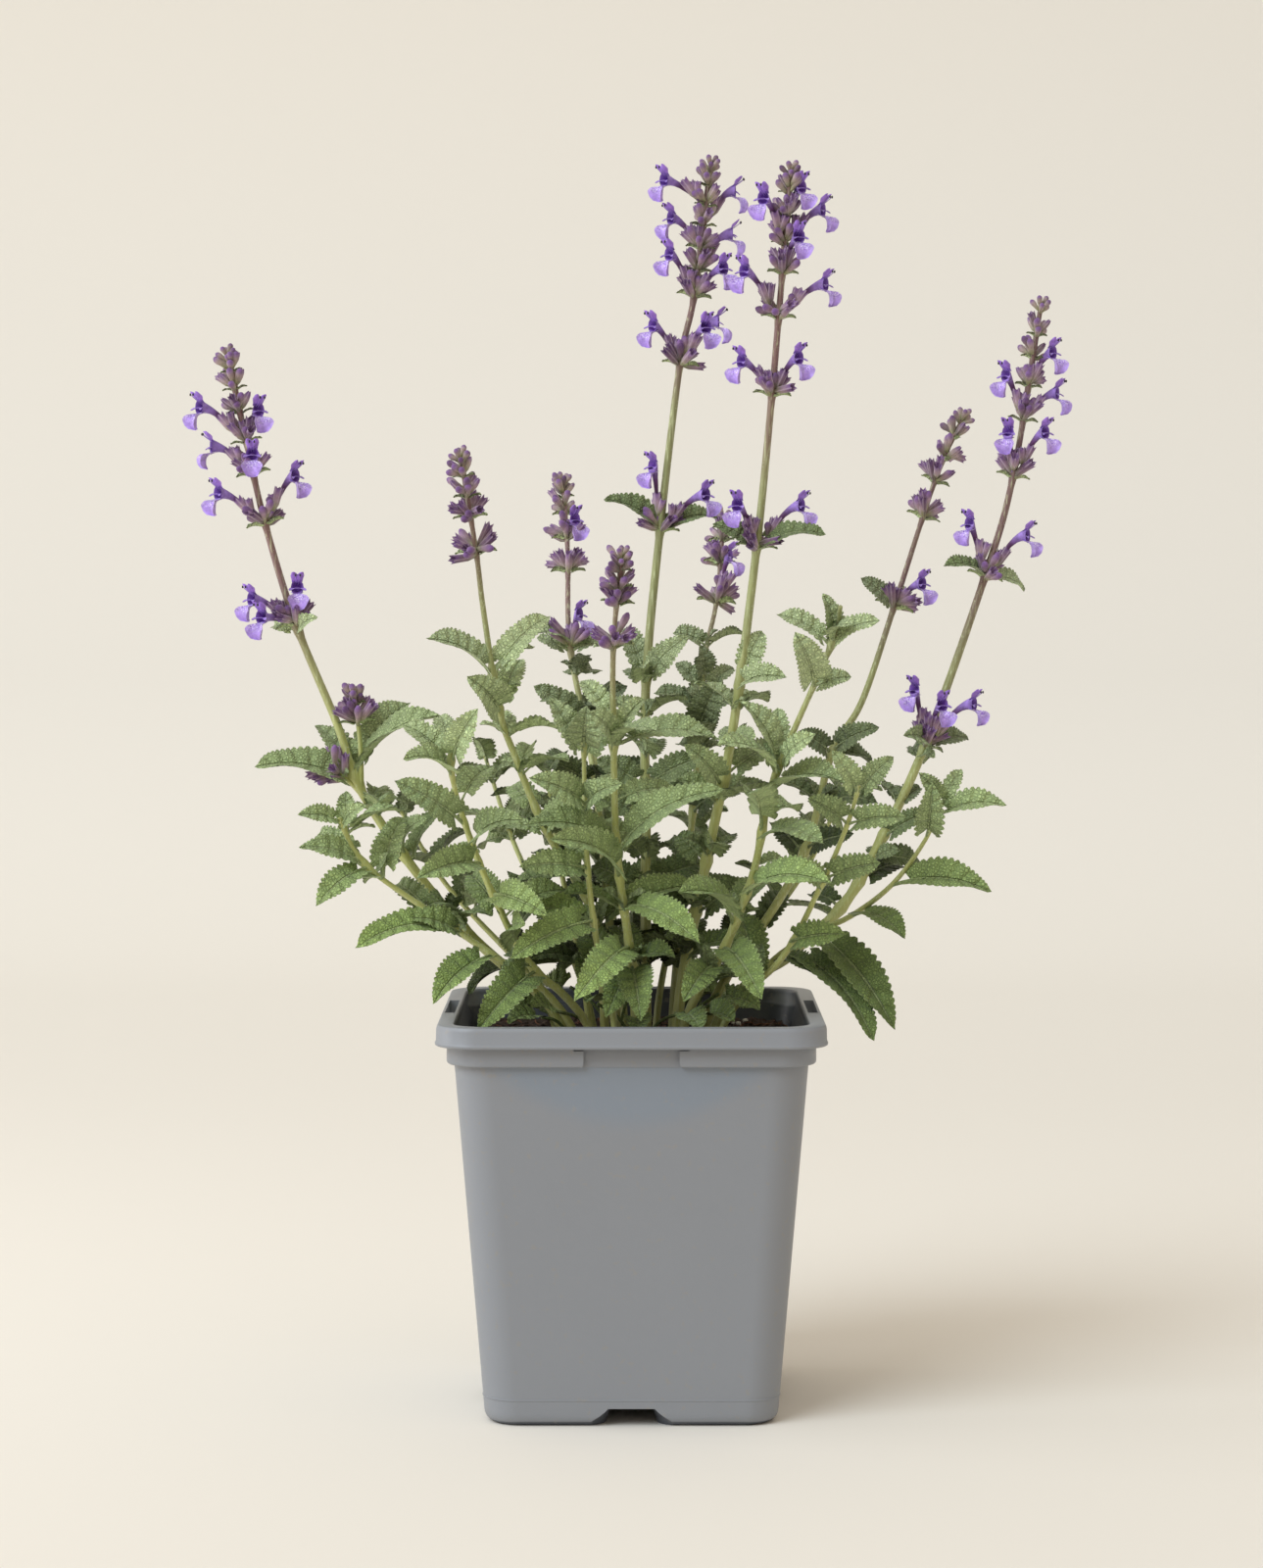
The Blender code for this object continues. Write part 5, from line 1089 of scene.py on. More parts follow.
def plainSkin(name, tint, roughness, scale, amount, depth):
    material, tree, shader, places = newMaterial(name, roughness)
    finish(tree, shader, drifted(tree, places, tint, scale, amount), grained(tree, places, scale * 2, 0.3),
           depth, 0.7)
    return material


# the bluish colour below the rim and the dark colour inside are painted shade
potColours = {"plastic": colour(135, 138, 144), "rimShade": colour(129, 137, 148), "dust": colour(150, 140, 124),
              "inside": colour(74, 78, 86)}
potFinish = {"bowl": 8.9, "rimShadeFrom": (0.099, 0.109), "rimShadeTo": (0.1236, 0.123), "drift": (14.0, 0.03),
             "centre": 0.0373, "widening": 0.08, "innerShade": (0.0120, 0.0114), "dust": 380.0,
             "dustShare": 0.25, "rough": (0.36, 0.52), "grain": (1600.0, 0.15), "relief": (0.00006, 0.6)}


def potPlastic():
    # painted bluish shade cast by the rim: a bowl shaped strip below the skirt, where z > 104 mm + bowl x x;
    # painted shade
    # inside the walls: with c the corner circles' centre, the length of (|x| - c, |y| - c) is there less than
    # their radius
    look = potFinish
    material, tree, shader, places = newMaterial("potPlastic", 0.38)
    x, y, z = addNode(tree, "SeparateXYZ", {0: places}).outputs
    bowl = calc(tree, "SUBTRACT", z, product(tree, x, x, look["bowl"]))
    # painted bluish shade below the rim, bowed like the shade the rim casts
    rimShade = product(tree, ramp(tree, bowl, *look["rimShadeFrom"]), ramp(tree, z, *look["rimShadeTo"]))
    base = blend(tree, rimShade, potColours["plastic"], potColours["rimShade"])
    base = drifted(tree, places, base, *look["drift"])
    centre = calc(tree, "ADD", product(tree, z, look["widening"]), look["centre"])
    dx, dy = (largest(tree, calc(tree, "SUBTRACT", calc(tree, "ABSOLUTE", way), centre), 0.0)
              for way in (x, y))
    far = calc(tree, "SQRT", calc(tree, "ADD", product(tree, dx, dx), product(tree, dy, dy)))
    dust = product(tree, ramp(tree, noise(tree, places, look["dust"], 2.0), 0.62, 0.72), look["dustShare"])
    # painted shade on the inner walls, deepest inside the mouth
    base = layers(tree, base, (ramp(tree, far, *look["innerShade"]), potColours["inside"]),
                  (dust, potColours["dust"]))
    rough = between(tree, noise(tree, places, 30.0, 3.0), *look["rough"])
    tree.links.new(rough, shader.inputs["Roughness"])
    finish(tree, shader, base, grained(tree, places, *look["grain"]), *look["relief"])
    return material


# Pot: a rounded square carried up and over the rim and down the inside, then cut like the solid

potSize = {"height": 137.0, "rimWidth": 131.9, "rimUnder": 129.9, "mouth": 118.8, "skirtWidth": 124.3,
           "skirtUnder": 123.4, "skirtBreak": 32.0, "topWidth": 119.3, "bottomWidth": 100.3, "footEdge": 4.5,
           "footCorner": 12.0, "wall": 1.4, "floorTop": 8.2, "slotLength": 38.5, "slotWidth": 3.4,
           "slotDepth": 8.0, "slotOff": 1.3, "wellSize": 29.0, "wellCentre": 26.5, "wellFloor": 1.8,
           "drainCentre": 27.0, "drainRadius": 4.0, "cornerSteps": 14, "seam": 9.0, "sharp": 32}
# rings from the skirt to the mouth: a width, a level, and for each ring what is added to the width, the
# radius of the corners and what is added to the level
potProfile = [("topWidth", "skirtUnder", [(0, 13, 0)]),
              ("skirtWidth", "skirtUnder", [(-1.2, 13.6, 0.05), (-0.3, 14, 0.4), (0, 14, 1.1)]),
              ("skirtWidth", "rimUnder", [(0, 14, 0)]),
              ("rimWidth", "rimUnder", [(-0.9, 14, 0.03), (-0.2, 14, 0.3), (0, 14, 0.9), (-0.7, 14, 1.7)]),
              ("rimWidth", "height", [(-0.9, 14, -1.6), (-1.3, 13.8, -0.7), (-2.1, 13.4, -0.15),
                                      (-3.2, 13, 0)]),
              ("mouth", "height", [(2.2, 11, 0), (0.9, 10.4, -0.2), (0.2, 10, -0.8), (0, 10, -1.6)]),
              ("mouth", "rimUnder", [(0, 10, 2.0)])]
# the channels between the feet: level, half width in the middle and at the walls, and where the walls are
channel = {"levels": ((-1, 9.0, 19.2), (0.5, 8.6, 16.8), (1.8, 8.2, 13.8), (3.6, 7.6, 10.8), (5.2, 7.0, 8.8),
                      (6.2, 6.5, 7.9)), "flareFrom": 41.5, "flare": 8.1, "end": 52.0}


def bodyWidth(z):
    low, wider = potSize["footEdge"], potSize["topWidth"] - potSize["bottomWidth"]
    return potSize["bottomWidth"] + wider * (z - low) / (potSize["skirtUnder"] - low)


def squareRing(width, radius, z):  # a square with rounded corners: corner centre + radius (cos, sin)
    step = np.linspace(0, math.pi / 2, potSize["cornerSteps"] + 1)
    a = (np.arange(4)[:, None] * math.pi / 2 + step).ravel()
    inner = np.array([[1, 1], [-1, 1], [-1, -1], [1, -1]]) * (width / 2 - radius)
    points = np.repeat(inner, len(step), axis=0) + radius * np.column_stack([np.cos(a), np.sin(a)])
    return np.column_stack([points, np.full(len(a), z)])


def boxRings(sizeY, *levels):  # a rectangle for each height and size in x
    square = np.array([[-0.5, -0.5], [0.5, -0.5], [0.5, 0.5], [-0.5, 0.5]])
    return np.stack([np.column_stack([square * [sizeX, sizeY], np.full(4, z)]) for z, sizeX in levels])


def addCutter(rings, quarter, collection):
    for _ in range(quarter):
        rings = np.stack([-rings[..., 1], rings[..., 0], rings[..., 2]], -1)
    shape = closedShape(rings, rings[0].mean(0), rings[-1].mean(0), 0.0, 0.0)
    mesh = bpy.data.meshes.new("potCut")
    mesh.from_pydata(shape["points"] * mm, [], shape["quads"].tolist() + shape["tris"].tolist())
    facesOut(mesh)
    collection.objects.link(bpy.data.objects.new("potCut", mesh))


def potRings():
    p = potSize
    rings = []
    for angle in np.linspace(0, math.pi / 2, 6):  # rounded foot edge
        short = 1 - math.sin(angle)
        rings.append((p["bottomWidth"] - 8.0 * short, p["footCorner"] - 3.5 * short,
                      p["footEdge"] * (1 - math.cos(angle))))
    s = p["seam"]  # a thin proud line of the mould
    for z, proud in ((s - 0.25, 0), (s - 0.1, 0.35), (s + 0.15, 0.35), (s + 0.3, 0), (45, 0), (85, 0)):
        share = (z - p["footEdge"]) / (p["skirtUnder"] - p["footEdge"])
        rings.append((bodyWidth(z) + proud, p["footCorner"] + share, z))
    for width, level, steps in potProfile:
        rings += [(p[width] + wider, corner, p[level] + higher) for wider, corner, higher in steps]
    for z, off, less, corner in ((p["rimUnder"], -0.5, 1.2, 9.5), (p["floorTop"] + 2, 0, 0, 9.0),
                                 (p["floorTop"], 0, 3.0, 8.0)):
        rings.append((bodyWidth(z) - 2 * p["wall"] - less, corner, z + off))
    return np.stack([squareRing(*ring) for ring in rings])


def potCuts():  # the break in the skirt, the label slot, the well of a foot, and a drain hole
    p = potSize
    low, high = p["skirtUnder"] - 0.3, p["height"] + 1.0
    # the break's lower corners flare out in a small arc
    flare = [(low + 2.0 * (1 - math.cos(t)), 1.6 * (1 - math.sin(t))) for t in np.linspace(0, math.pi / 2, 5)]
    flare = [(low - 0.5, 1.9), *flare, (p["rimUnder"] - 0.03, 0)]
    skirt = [(z, p["skirtBreak"] + 2 * wide) for z, wide in flare]
    slot = [(z, p["slotLength"]) for z in (p["height"] - p["slotDepth"], high)]
    well = [(z, p["wellSize"]) for z in (p["wellFloor"], p["floorTop"] + 1.6)]
    a = np.linspace(0, 2 * math.pi, 24, endpoint=False)
    disc = p["drainRadius"] * np.stack([np.cos(a), np.sin(a)], 1)
    drain = np.stack([np.column_stack([disc, np.full(24, z)]) for z in (4.0, 10.0)])
    breakInside = bodyWidth(p["rimUnder"]) / 2 - 0.25
    return [boxRings(6.0, *skirt) - [0, breakInside + 3.0, 0],
            boxRings(p["slotWidth"], *slot) - [0, p["mouth"] / 2 + p["slotOff"] + p["slotWidth"] / 2, 0],
            boxRings(p["wellSize"], *well) + [p["wellCentre"], -p["wellCentre"], 0],
            drain - [0, p["drainCentre"], 0]]


def channelCut():  # it flares at both walls: half width = inner + (outer - inner) share squared
    start, flare, end = channel["flareFrom"], channel["flare"], channel["end"]
    y = np.concatenate([[-end], np.linspace(-start - flare, -start, 8),
                        np.linspace(start, start + flare, 8), [end]])
    share = np.clip((abs(y) - start) / flare, 0, 1) ** 2
    rings = []
    for z, inner, outer in channel["levels"]:
        half = inner + (outer - inner) * share
        rings.append(np.column_stack([np.concatenate([half, -half[::-1]]), np.concatenate([y, y[::-1]]),
                                      np.full(2 * len(y), float(z))]))
    return np.stack(rings)


def makePot(plastic):
    heap = heapOf()
    pile(heap, closedShape(potRings(), np.zeros(3), np.array([0, 0, potSize["floorTop"]]), 0.0, 0.0))
    pot = makePiece("pot_body", heap, plastic, ["pot"])
    cutters = bpy.data.collections.new("potCutters")
    bpy.context.scene.collection.children.link(cutters)
    cuts = potCuts()
    for quarter in range(4):
        for rings in cuts:
            addCutter(rings, quarter, cutters)
    for quarter in range(2):
        addCutter(channelCut(), quarter, cutters)
    cut = pot.modifiers.new("cuts", "BOOLEAN")
    cut.operation, cut.solver = "DIFFERENCE", "EXACT"
    cut.operand_type, cut.collection = "COLLECTION", cutters
    cutMesh = bpy.data.meshes.new_from_object(pot.evaluated_get(bpy.context.evaluated_depsgraph_get()))
    pot.modifiers.clear()
    pot.data = cutMesh
    for cutter in list(cutters.objects):
        bpy.data.objects.remove(cutter)
    bpy.data.collections.remove(cutters)
    smoothIn(cutMesh, plastic, potSize["sharp"])


# Soil: a crumbly crust over the packed soil, with lumps, fibres and grains

soilLook = {"level": 125.5, "half": 55.8, "cells": 100, "rounding": 0.14, "above": 0.55,
            "rough": (-0.55, 0.75), "deep": 2.2, "lumps": 420, "lumpSize": (0.5, 1.5), "fibres": 110,
            "fibreLength": (4, 13), "fibreThick": (0.12, 0.26), "fibreSteps": 6, "grains": 16,
            "grainSize": (0.5, 1.1), "sharp": 40}


def soilHeight(x, y):  # the solid's three waves: 0.8 sin cos + 0.5 sin + 0.4 cos
    return (soilLook["level"] + 0.8 * np.sin(0.31 * x + 1.0) * np.cos(0.27 * y)
            + 0.5 * np.sin(0.63 * y + 0.41 * x) + 0.4 * np.cos(0.83 * x - 0.37 * y))


def lumpShape(x, y, off, size, share, chance):  # a rough ball, a share of its size above the soil
    centre = np.array([x, y, float(soilHeight(x, y)) + off + size * share])
    a = np.linspace(0, 2 * math.pi, 6, endpoint=False)
    b = np.array([0.25, 0.5, 0.75])[:, None] * math.pi
    rough = np.array([chance.uniform(0.65, 1.25) for _ in range(18)]).reshape(3, 6) * size
    rings = np.stack([rough * np.sin(b) * np.cos(a), rough * np.sin(b) * np.sin(a),
                      rough * 0.75 * np.cos(b) * np.ones(6)], -1)
    return closedShape(centre + rings, centre + [0, 0, size * 0.7], centre - [0, 0, size * 0.7], 0.0, 0.0)


def fibreShape(x, y, chance):  # a bowed thread that rises off the soil in its middle
    half = soilLook["half"]
    turn, length = chance.uniform(0, 2 * math.pi), chance.uniform(*soilLook["fibreLength"])
    way = np.array([math.cos(turn), math.sin(turn), 0])
    side = np.array([-way[1], way[0], 0]) * chance.uniform(-2, 2)
    t = np.linspace(-0.5, 0.5, soilLook["fibreSteps"])[:, None]
    line = np.array([x, y, 0]) + way * length * t + side * (0.25 - t * t) * 4
    line = np.clip(line, -half, half)
    line[:, 2] = soilHeight(line[:, 0], line[:, 1]) + 1.1 + chance.uniform(0, 1.2) * (0.3 - t[:, 0] ** 2) * 3
    return tubeShape(line, np.full(len(line), chance.uniform(*soilLook["fibreThick"])), 4, reference=up)


def makeSoil(peat, fibreSkin, grainSkin):
    chance = random.Random(seed + 5)
    half, cells, rounding = soilLook["half"], soilLook["cells"], soilLook["rounding"]
    crust, fibres, grains = heapOf(), heapOf(), heapOf()
    u, v = np.meshgrid(np.linspace(-1, 1, cells), np.linspace(-1, 1, cells), indexing="ij")
    x = u * np.sqrt(1 - rounding * v * v) * half
    y = v * np.sqrt(1 - rounding * u * u) * half
    bumps = np.random.default_rng(seed).uniform(*soilLook["rough"], x.shape)
    top = np.stack([x, y, soilHeight(x, y) + soilLook["above"] + bumps], -1)
    pole = np.array([x[-1, 0] + 0.3, 0, soilLook["level"] - 0.6])
    pile(crust, bladeShape(top, up, soilLook["deep"], pole, u * 0.5 + 0.5, v * 0.5 + 0.5))
    for _ in range(soilLook["lumps"]):
        x, y = (chance.uniform(-0.95, 0.95) * half * 0.97 for _ in range(2))
        size = soilLook["lumpSize"][0] + soilLook["lumpSize"][1] * chance.random() ** 3
        pile(crust, lumpShape(x, y, 0.5, size, 0.45, chance), chance.random())
    for _ in range(soilLook["fibres"]):
        x, y = (chance.uniform(-0.9, 0.9) * half for _ in range(2))
        pile(fibres, fibreShape(x, y, chance), chance.random())
    for _ in range(soilLook["grains"]):
        x, y = (chance.uniform(-0.9, 0.9) * half for _ in range(2))
        size = chance.uniform(*soilLook["grainSize"])
        pile(grains, lumpShape(x, y, 1.1, size, 0.4, chance))
    makePiece("soil_crust", crust, peat, sharp=soilLook["sharp"])
    makePiece("soil_fibres", fibres, fibreSkin)
    makePiece("soil_grains", grains, grainSkin, sharp=soilLook["sharp"])


# Floor, light and camera


def sweepPaper():  # a little darker to the right and where it turns up, as the light leaves it
    material, tree, shader, places = newMaterial("sweepPaper", 0.9, Specular_IOR_Level=0.1)
    x, y, z = addNode(tree, "SeparateXYZ", {0: places}).outputs
    rise = addNode(tree, "ValToRGB", {0: z}).outputs[0]
    stops = rise.node.color_ramp.elements
    for number, (place, grey) in enumerate(studio["paperShade"]):
        stop = stops[number] if number < 2 else stops.new(place)
        stop.position, stop.color = place, (grey, grey, grey, 1)
    aside = calc(tree, "SUBTRACT", 1.0, product(tree, x, studio["paperFade"]))
    aside = calc(tree, "SUBTRACT", aside, product(tree, ramp(tree, y, 0.0, 0.9), studio["farFade"]))
    base = blend(tree, 1.0, greyTimes(tree, rise, aside), (*studio["sweepColour"], 1), "MULTIPLY")
    tree.links.new(base, shader.inputs["Base Color"])
    return material


def makeStage():  # a sweep: flat floor, then an arc, then an upright wall
    arc = np.linspace(0, math.pi / 2, 24)
    y = np.concatenate([[-3.0, -1.0, 0.0], 1.3 + 0.9 * np.sin(arc), [2.2]])
    z = np.concatenate([[0, 0, 0], 0.9 * (1 - np.cos(arc)), [3.4]])
    points = np.stack(np.broadcast_arrays(np.linspace(-4, 4, 9), y[:, None], z[:, None]), -1).reshape(-1, 3)
    mesh = bpy.data.meshes.new("sweep")
    mesh.from_pydata(points, [], gridQuads(len(y), 9, False).tolist())
    mesh.shade_smooth()
    mesh.materials.append(sweepPaper())
    addObject("sweep", mesh)


def addLight(name, kind, place, power, tint, **settings):  # each light looks at the middle of the plant
    data = bpy.data.lights.new(name, kind)
    data.energy, data.color = power, tint
    for key, value in settings.items():
        setattr(data, key, value)
    lamp = addObject(name, data)
    lamp.location = place
    lamp.rotation_euler = (Vector(studio["lookAt"]) - Vector(place)).to_track_quat("-Z", "Y").to_euler()


def makeStudio():
    makeStage()
    addLight("key", "SUN", studio["keyPlace"], studio["keyPower"], studio["keyColour"],
             angle=math.radians(studio["keySpread"]))
    addLight("leftPanel", "AREA", studio["leftPlace"], studio["leftPower"], studio["leftColour"],
             shape="RECTANGLE", size=studio["leftSize"][0], size_y=studio["leftSize"][1])
    world = bpy.data.worlds.new("studio")
    world.use_nodes = True
    sky = world.node_tree.nodes["Background"]
    sky.inputs["Color"].default_value = (*studio["skyColour"], 1)
    sky.inputs["Strength"].default_value = studio["skyStrength"]
    bpy.context.scene.world = world
    lens = bpy.data.cameras.new("camera")
    lens.lens, lens.clip_end = camera["lens"], 20
    eye = addObject("camera", lens)
    eye.location = camera["place"]
    eye.rotation_euler = (math.radians(camera["tilt"]), 0, 0)
    bpy.context.scene.camera = eye
    bpy.context.scene.view_settings.view_transform = "Standard"


makeStudio()
print("stage: floor, lights and camera")
makePot(potPlastic())
print("pot done")
peat = plainSkin("peat", colour(58, 42, 34), 0.95, 260.0, 0.6, 0.0006)
for slotOf in frame["nodes"]["soil"].material_slots:
    slotOf.material = peat
makeSoil(peat, plainSkin("fibre", colour(112, 74, 52), 0.85, 300.0, 0.4, 0.0002),
         plainSkin("perlite", colour(222, 218, 208), 0.8, 500.0, 0.1, 0.0002))
print("soil done")

# The plant

growth = {"low": 147.0, "step": (18.0, 11.0), "stepFrom": (205, 235), "top": 266.0, "bareAbove": 252.0,
          "clearOf": 262, "leaf": (25.0, 15.0), "axil": (12.0, 8.5), "share": 0.43, "clear": 2.4,
          "front": -34.0, "turns": (0, 24, -24, 48, -48, 72), "middle": (52.0, 268.0), "side": (106.0, 228.0),
          "under": (140, 0.55, 30), "flank": ((160, 200), (26, 44)), "sparse": 0.55}
whorlLook = {"many": 9, "few": 5, "spread": 52, "root": 0.8, "lean": (0.15, 1.15), "size": (0.9, 1.2),
             "shorter": 0.3, "thick": 1.4, "buds": (0.35, 0.5), "bract": (7.5, 4.0), "bractWide": 0.42,
             "bractLean": 0.25, "tipBuds": 7, "tipTurn": 2.4, "tipSize": 5.4}
# turns: the height where a stem turns purple brown, for the others turnsBelow its spike, or never
stemGrowth = {"turns": {"tall_mid": 345, "tall_right": 318, "tall_far": 250}, "turnsBelow": 10, "never": 400,
              "easing": 24, "endBelow": 2.5, "overlap": 1.5}
baseLook = {"count": 16, "from": 124.5, "reach": (26, 37), "height": (134, 143), "length": (13, 18),
            "share": 0.62, "stalk": 0.6}
bractLook = {"above": 285, "age": 0.6, "tone": 0.55}  # the leaves below the whorls are darker
hairLook = {"each": 340, "length": 0.75, "thick": 0.06, "along": 1.6, "sunk": 0.93, "lean": 0.3}
stemPaint, leafPaint, calyxPaint, petalPaint = stemSkin(), leafSkin(), calyxSkin(), petalSkin()
darkPaint = plainSkin("anther", colour(38, 28, 40), 0.5, 500.0, 0.2, 0.0001)
downPaint = plainSkin("down", colour(222, 226, 208), 0.7, 500.0, 0.05, 0.0)


def ageOf(leaf):  # old and yellow green by the soil, young and grey green at the top
    return float(np.clip(1.1 - (leaf["end"][2] - 140) / 115 + (leaf["width"] - 9) * 0.02, 0.0, 1.0))


def shadeByDepth(middle, chance):  # painted shade: dark deep inside and low down, light at the front, between at the back
    front = max(np.interp(middle[1] - 0.35 * (middle[2] - 150), [-42, 4], [1, 0]),
                np.interp(middle[1], [20, 50], [0, 0.6]))
    return 0.3 * chance.random() + 0.7 * float(front)


def leafProbes(leaf):  # twelve points spread over a leaf, to keep others away from
    root, bend, end, normal, _ = leafCurve(leaf)
    s = np.array([0.38, 0.6, 0.8, 0.98])[:, None, None]
    v = np.array([-1, 0, 1.0])[None, :, None]
    side = np.cross(unit(end - root), normal)
    return (parabola(root, bend, end, s)[0] + side * v * leaf["width"] * 0.38 * (s < 0.9)).reshape(-1, 3)


def inMound(point):  # the leafy mound's outline seen from the front: a tall middle and lower flanks
    low, slope, start = growth["under"]
    x, z = abs(point[0]), point[2]
    top = growth["middle" if x < growth["middle"][0] else "side"][1]
    return z < top and x < growth["side"][0] and z > low + slope * max(0, x - start)


def addedLeaf(node, base, axis, lead, lean, kind, share, probes, chance):
    # a leaf that is turned step by step until it is clear of the others, or else none
    length = float(np.interp(share, [0, 1], growth[kind])) * chance.uniform(0.85, 1.15)
    heading = unit(lead + axis * lean * chance.uniform(0.6, 1.4))
    for turn in growth["turns"]:
        way = swung(heading, turn, 0, 1.0)
        leaf = {"node": node, "root": base + across(way, axis) * 0.6, "end": base + way * length,
                "width": growth["share"] * length * chance.uniform(0.9, 1.15),
                "face": unit(up * 0.8 + toFront * chance.uniform(0.1, 0.7) - way * 0.2
                             + np.cross(way, up) * chance.uniform(-0.55, 0.55)),
                "stalk": 0.5, "young": kind == "axil"}
        spots = leafProbes(leaf)
        apart = np.linalg.norm(spots[:, None] - probes[None], axis=2).min()
        if leaf["end"][1] > growth["front"] and inMound(leaf["end"]) and apart > growth["clear"]:
            return leaf, spots
    return None, None


def moreLeaves(chance):
    # at even heights a pair of leaves square to the last, with two small ones in each axil
    probes = np.concatenate([leafProbes(leaf) for leaf in leaves]
                            + [path[path[:, 2] < growth["clearOf"]] for path in paths.values()])
    added = []
    for name, stem in sorted(shoots.items()):
        path = paths[name]
        isTall = "spikeFrom" in stem and stem["thick"][0] > 4
        top = min(growth["bareAbove" if isTall else "top"], path[-1, 2] - 5)
        z, number = growth["low"] + chance.uniform(0, 8), 0
        while z < top:
            base, axis = pointAt(path, z), directionAt(path, z)
            share = (z - growth["low"]) / (growth["top"] - growth["low"])
            for side in (0, 180):
                if abs(base[0]) > np.interp(z, *growth["flank"]) and chance.random() < growth["sparse"]:
                    continue
                out = outwardAt(axis, math.radians(90 * number + side + chance.uniform(-25, 25)))
                beside = np.cross(axis, out)
                for kind, lean, apart in (("leaf", 0.35, 0.0), ("axil", 0.9, 0.55), ("axil", 0.9, -0.55)):
                    leaf, spots = addedLeaf(nodeAt(name, stem, z), base, axis, out + beside * apart, lean,
                                            kind, share, probes, chance)
                    if leaf:
                        added.append(leaf)
                        probes = np.concatenate([probes, spots])
            z += float(np.interp(z, growth["stepFrom"], growth["step"])) * chance.uniform(0.85, 1.15)
            number += 1
    return added


def hairShape(path, radius, count, draws):
    # needles of three sides that stand on a tube: root = path + r (cos a, sin a), tip a hair's length out
    row = draws.integers(1, len(path) - 1, count)
    a = draws.uniform(0, 2 * math.pi, count)[:, None]
    along = unit(np.gradient(path, axis=0))[row]
    first = across(np.broadcast_to(toFront, along.shape), along)
    out = first * np.cos(a) + np.cross(along, first) * np.sin(a)
    side = np.cross(along, out) * hairLook["thick"]
    slip, lean = hairLook["along"], hairLook["lean"]
    root = (path[row] + along * draws.uniform(-slip, slip, count)[:, None]
            + out * radius[row][:, None] * hairLook["sunk"])
    tip = (root + out * hairLook["length"] * draws.uniform(0.6, 1.3, count)[:, None]
           + along * draws.uniform(-lean, lean, count)[:, None])
    wide = along * hairLook["thick"]
    points = np.stack([root + side, root - side * 0.5 + wide, root - side * 0.5 - wide, tip], 1)
    start = np.arange(count)[:, None] * 4
    tris = np.concatenate([start + np.array(face) for face in ((0, 1, 3), (1, 2, 3), (2, 0, 3), (0, 2, 1))])
    return {"points": points.reshape(-1, 3), "quads": np.zeros((0, 4), int), "tris": tris,
            "uv": np.zeros((4 * count, 2)), "mark": np.zeros(4 * count)}


def growStems(green, down, chance):
    draws = np.random.default_rng(seed)
    for name, stem in sorted(shoots.items()):
        foot, split, tone = stem["route"][0], stem.get("spikeFrom"), chance.random()
        fine = smoothRoute(stem["route"], stemLook["spacing"])
        start = np.linspace([foot[0], foot[1], stemRule["footLevel"]], fine[0], 8)[:-1]
        fine = np.concatenate([start, fine])
        for _ in range(stemGrowth["easing"]):  # the foot's bend: each point goes between its neighbours
            fine[1:13] = (fine[:12] + fine[2:14]) / 2
        joints = sorted({z for z, *_ in (*stem.get("leaves", ()), *stem.get("whorls", ()))})
        turns = split - stemGrowth["turnsBelow"] if split else stemGrowth["never"]
        turns = stemGrowth["turns"].get(name, turns) * mm
        if split:
            spike = stemShape(fine, stem["thick"], joints, low=split - stemGrowth["overlap"],
                              high=fine[-1, 2] - stemGrowth["endBelow"])
            pile(green["stem_" + name], stemShape(fine, stem["thick"], joints, high=split), tone, turns)
            pile(green["spike_" + name], spike, tone, turns)
        else:
            pile(green[name], stemShape(fine, stem["thick"], joints), tone, turns)
        radius = stemLook["mean"] * np.interp(fine[:, 2], [fine[0, 2], fine[-1, 2]], stem["thick"])
        pile(down, hairShape(fine[8:], radius[8:], hairLook["each"], draws))
        for branch in stem.get("branches", ()):
            route = smoothRoute(branch["route"], stemLook["spacing"])
            pile(green["stem_" + name], stemShape(route, stemRule["branchThick"], ()), tone, turns)


def baseLeaves(chance):  # small round leaves on long stalks from the crown, out over the soil and the rim
    feet = {name: np.array(stem["route"][0][:2]) for name, stem in sorted(shoots.items())
            if "spikeFrom" in stem}
    added = []
    for i in range(baseLook["count"]):
        a = 2 * math.pi * (i + chance.uniform(-0.3, 0.3)) / baseLook["count"]
        out = np.array([math.cos(a), math.sin(a), 0.0])
        near = min(feet, key=lambda name: np.linalg.norm(feet[name] - 20 * out[:2]))
        root = out * chance.uniform(*baseLook["reach"]) + up * chance.uniform(*baseLook["height"])
        way = unit(out + up * chance.uniform(-0.35, 0.35) + toFront * 0.3)
        length = chance.uniform(*baseLook["length"])
        added.append({"node": "stem_" + near, "root": root, "end": root + way * length,
                      "foot": np.array([*feet[near], baseLook["from"]]), "width": length * baseLook["share"],
                      "face": unit(up + toFront * chance.uniform(0.3, 1.0) - way * 0.2)})
    return added


def growLeaves(blades, chance):
    for leaf in baseLeaves(chance):
        line = smoothRoute([leaf["foot"], (leaf["foot"] + leaf["root"]) / 2 + up * 3, leaf["root"]], 2.5)
        pile(blades[leaf["node"]], tubeShape(line, np.full(len(line), baseLook["stalk"]), 6), 0.4, 1.0)
        pile(blades[leaf["node"]], leafShape(leaf, chance), 0.35 + 0.5 * chance.random(), 0.85)
    for leaf in leaves + moreLeaves(chance):
        age = ageOf(leaf) * (0.5 if leaf.get("young") else 1.0)
        middle = (leaf["root"] + leaf["end"]) / 2
        # the tone is mostly painted shade by depth in the plant, partly random
        tone = shadeByDepth(middle, chance)
        if middle[2] > bractLook["above"]:
            age, tone = max(age, bractLook["age"]), tone * bractLook["tone"]
        pile(blades[leaf["node"]], leafShape(leaf, chance), tone, age)
        pile(blades[leaf["node"]], stalkShape(leaf), tone, age)


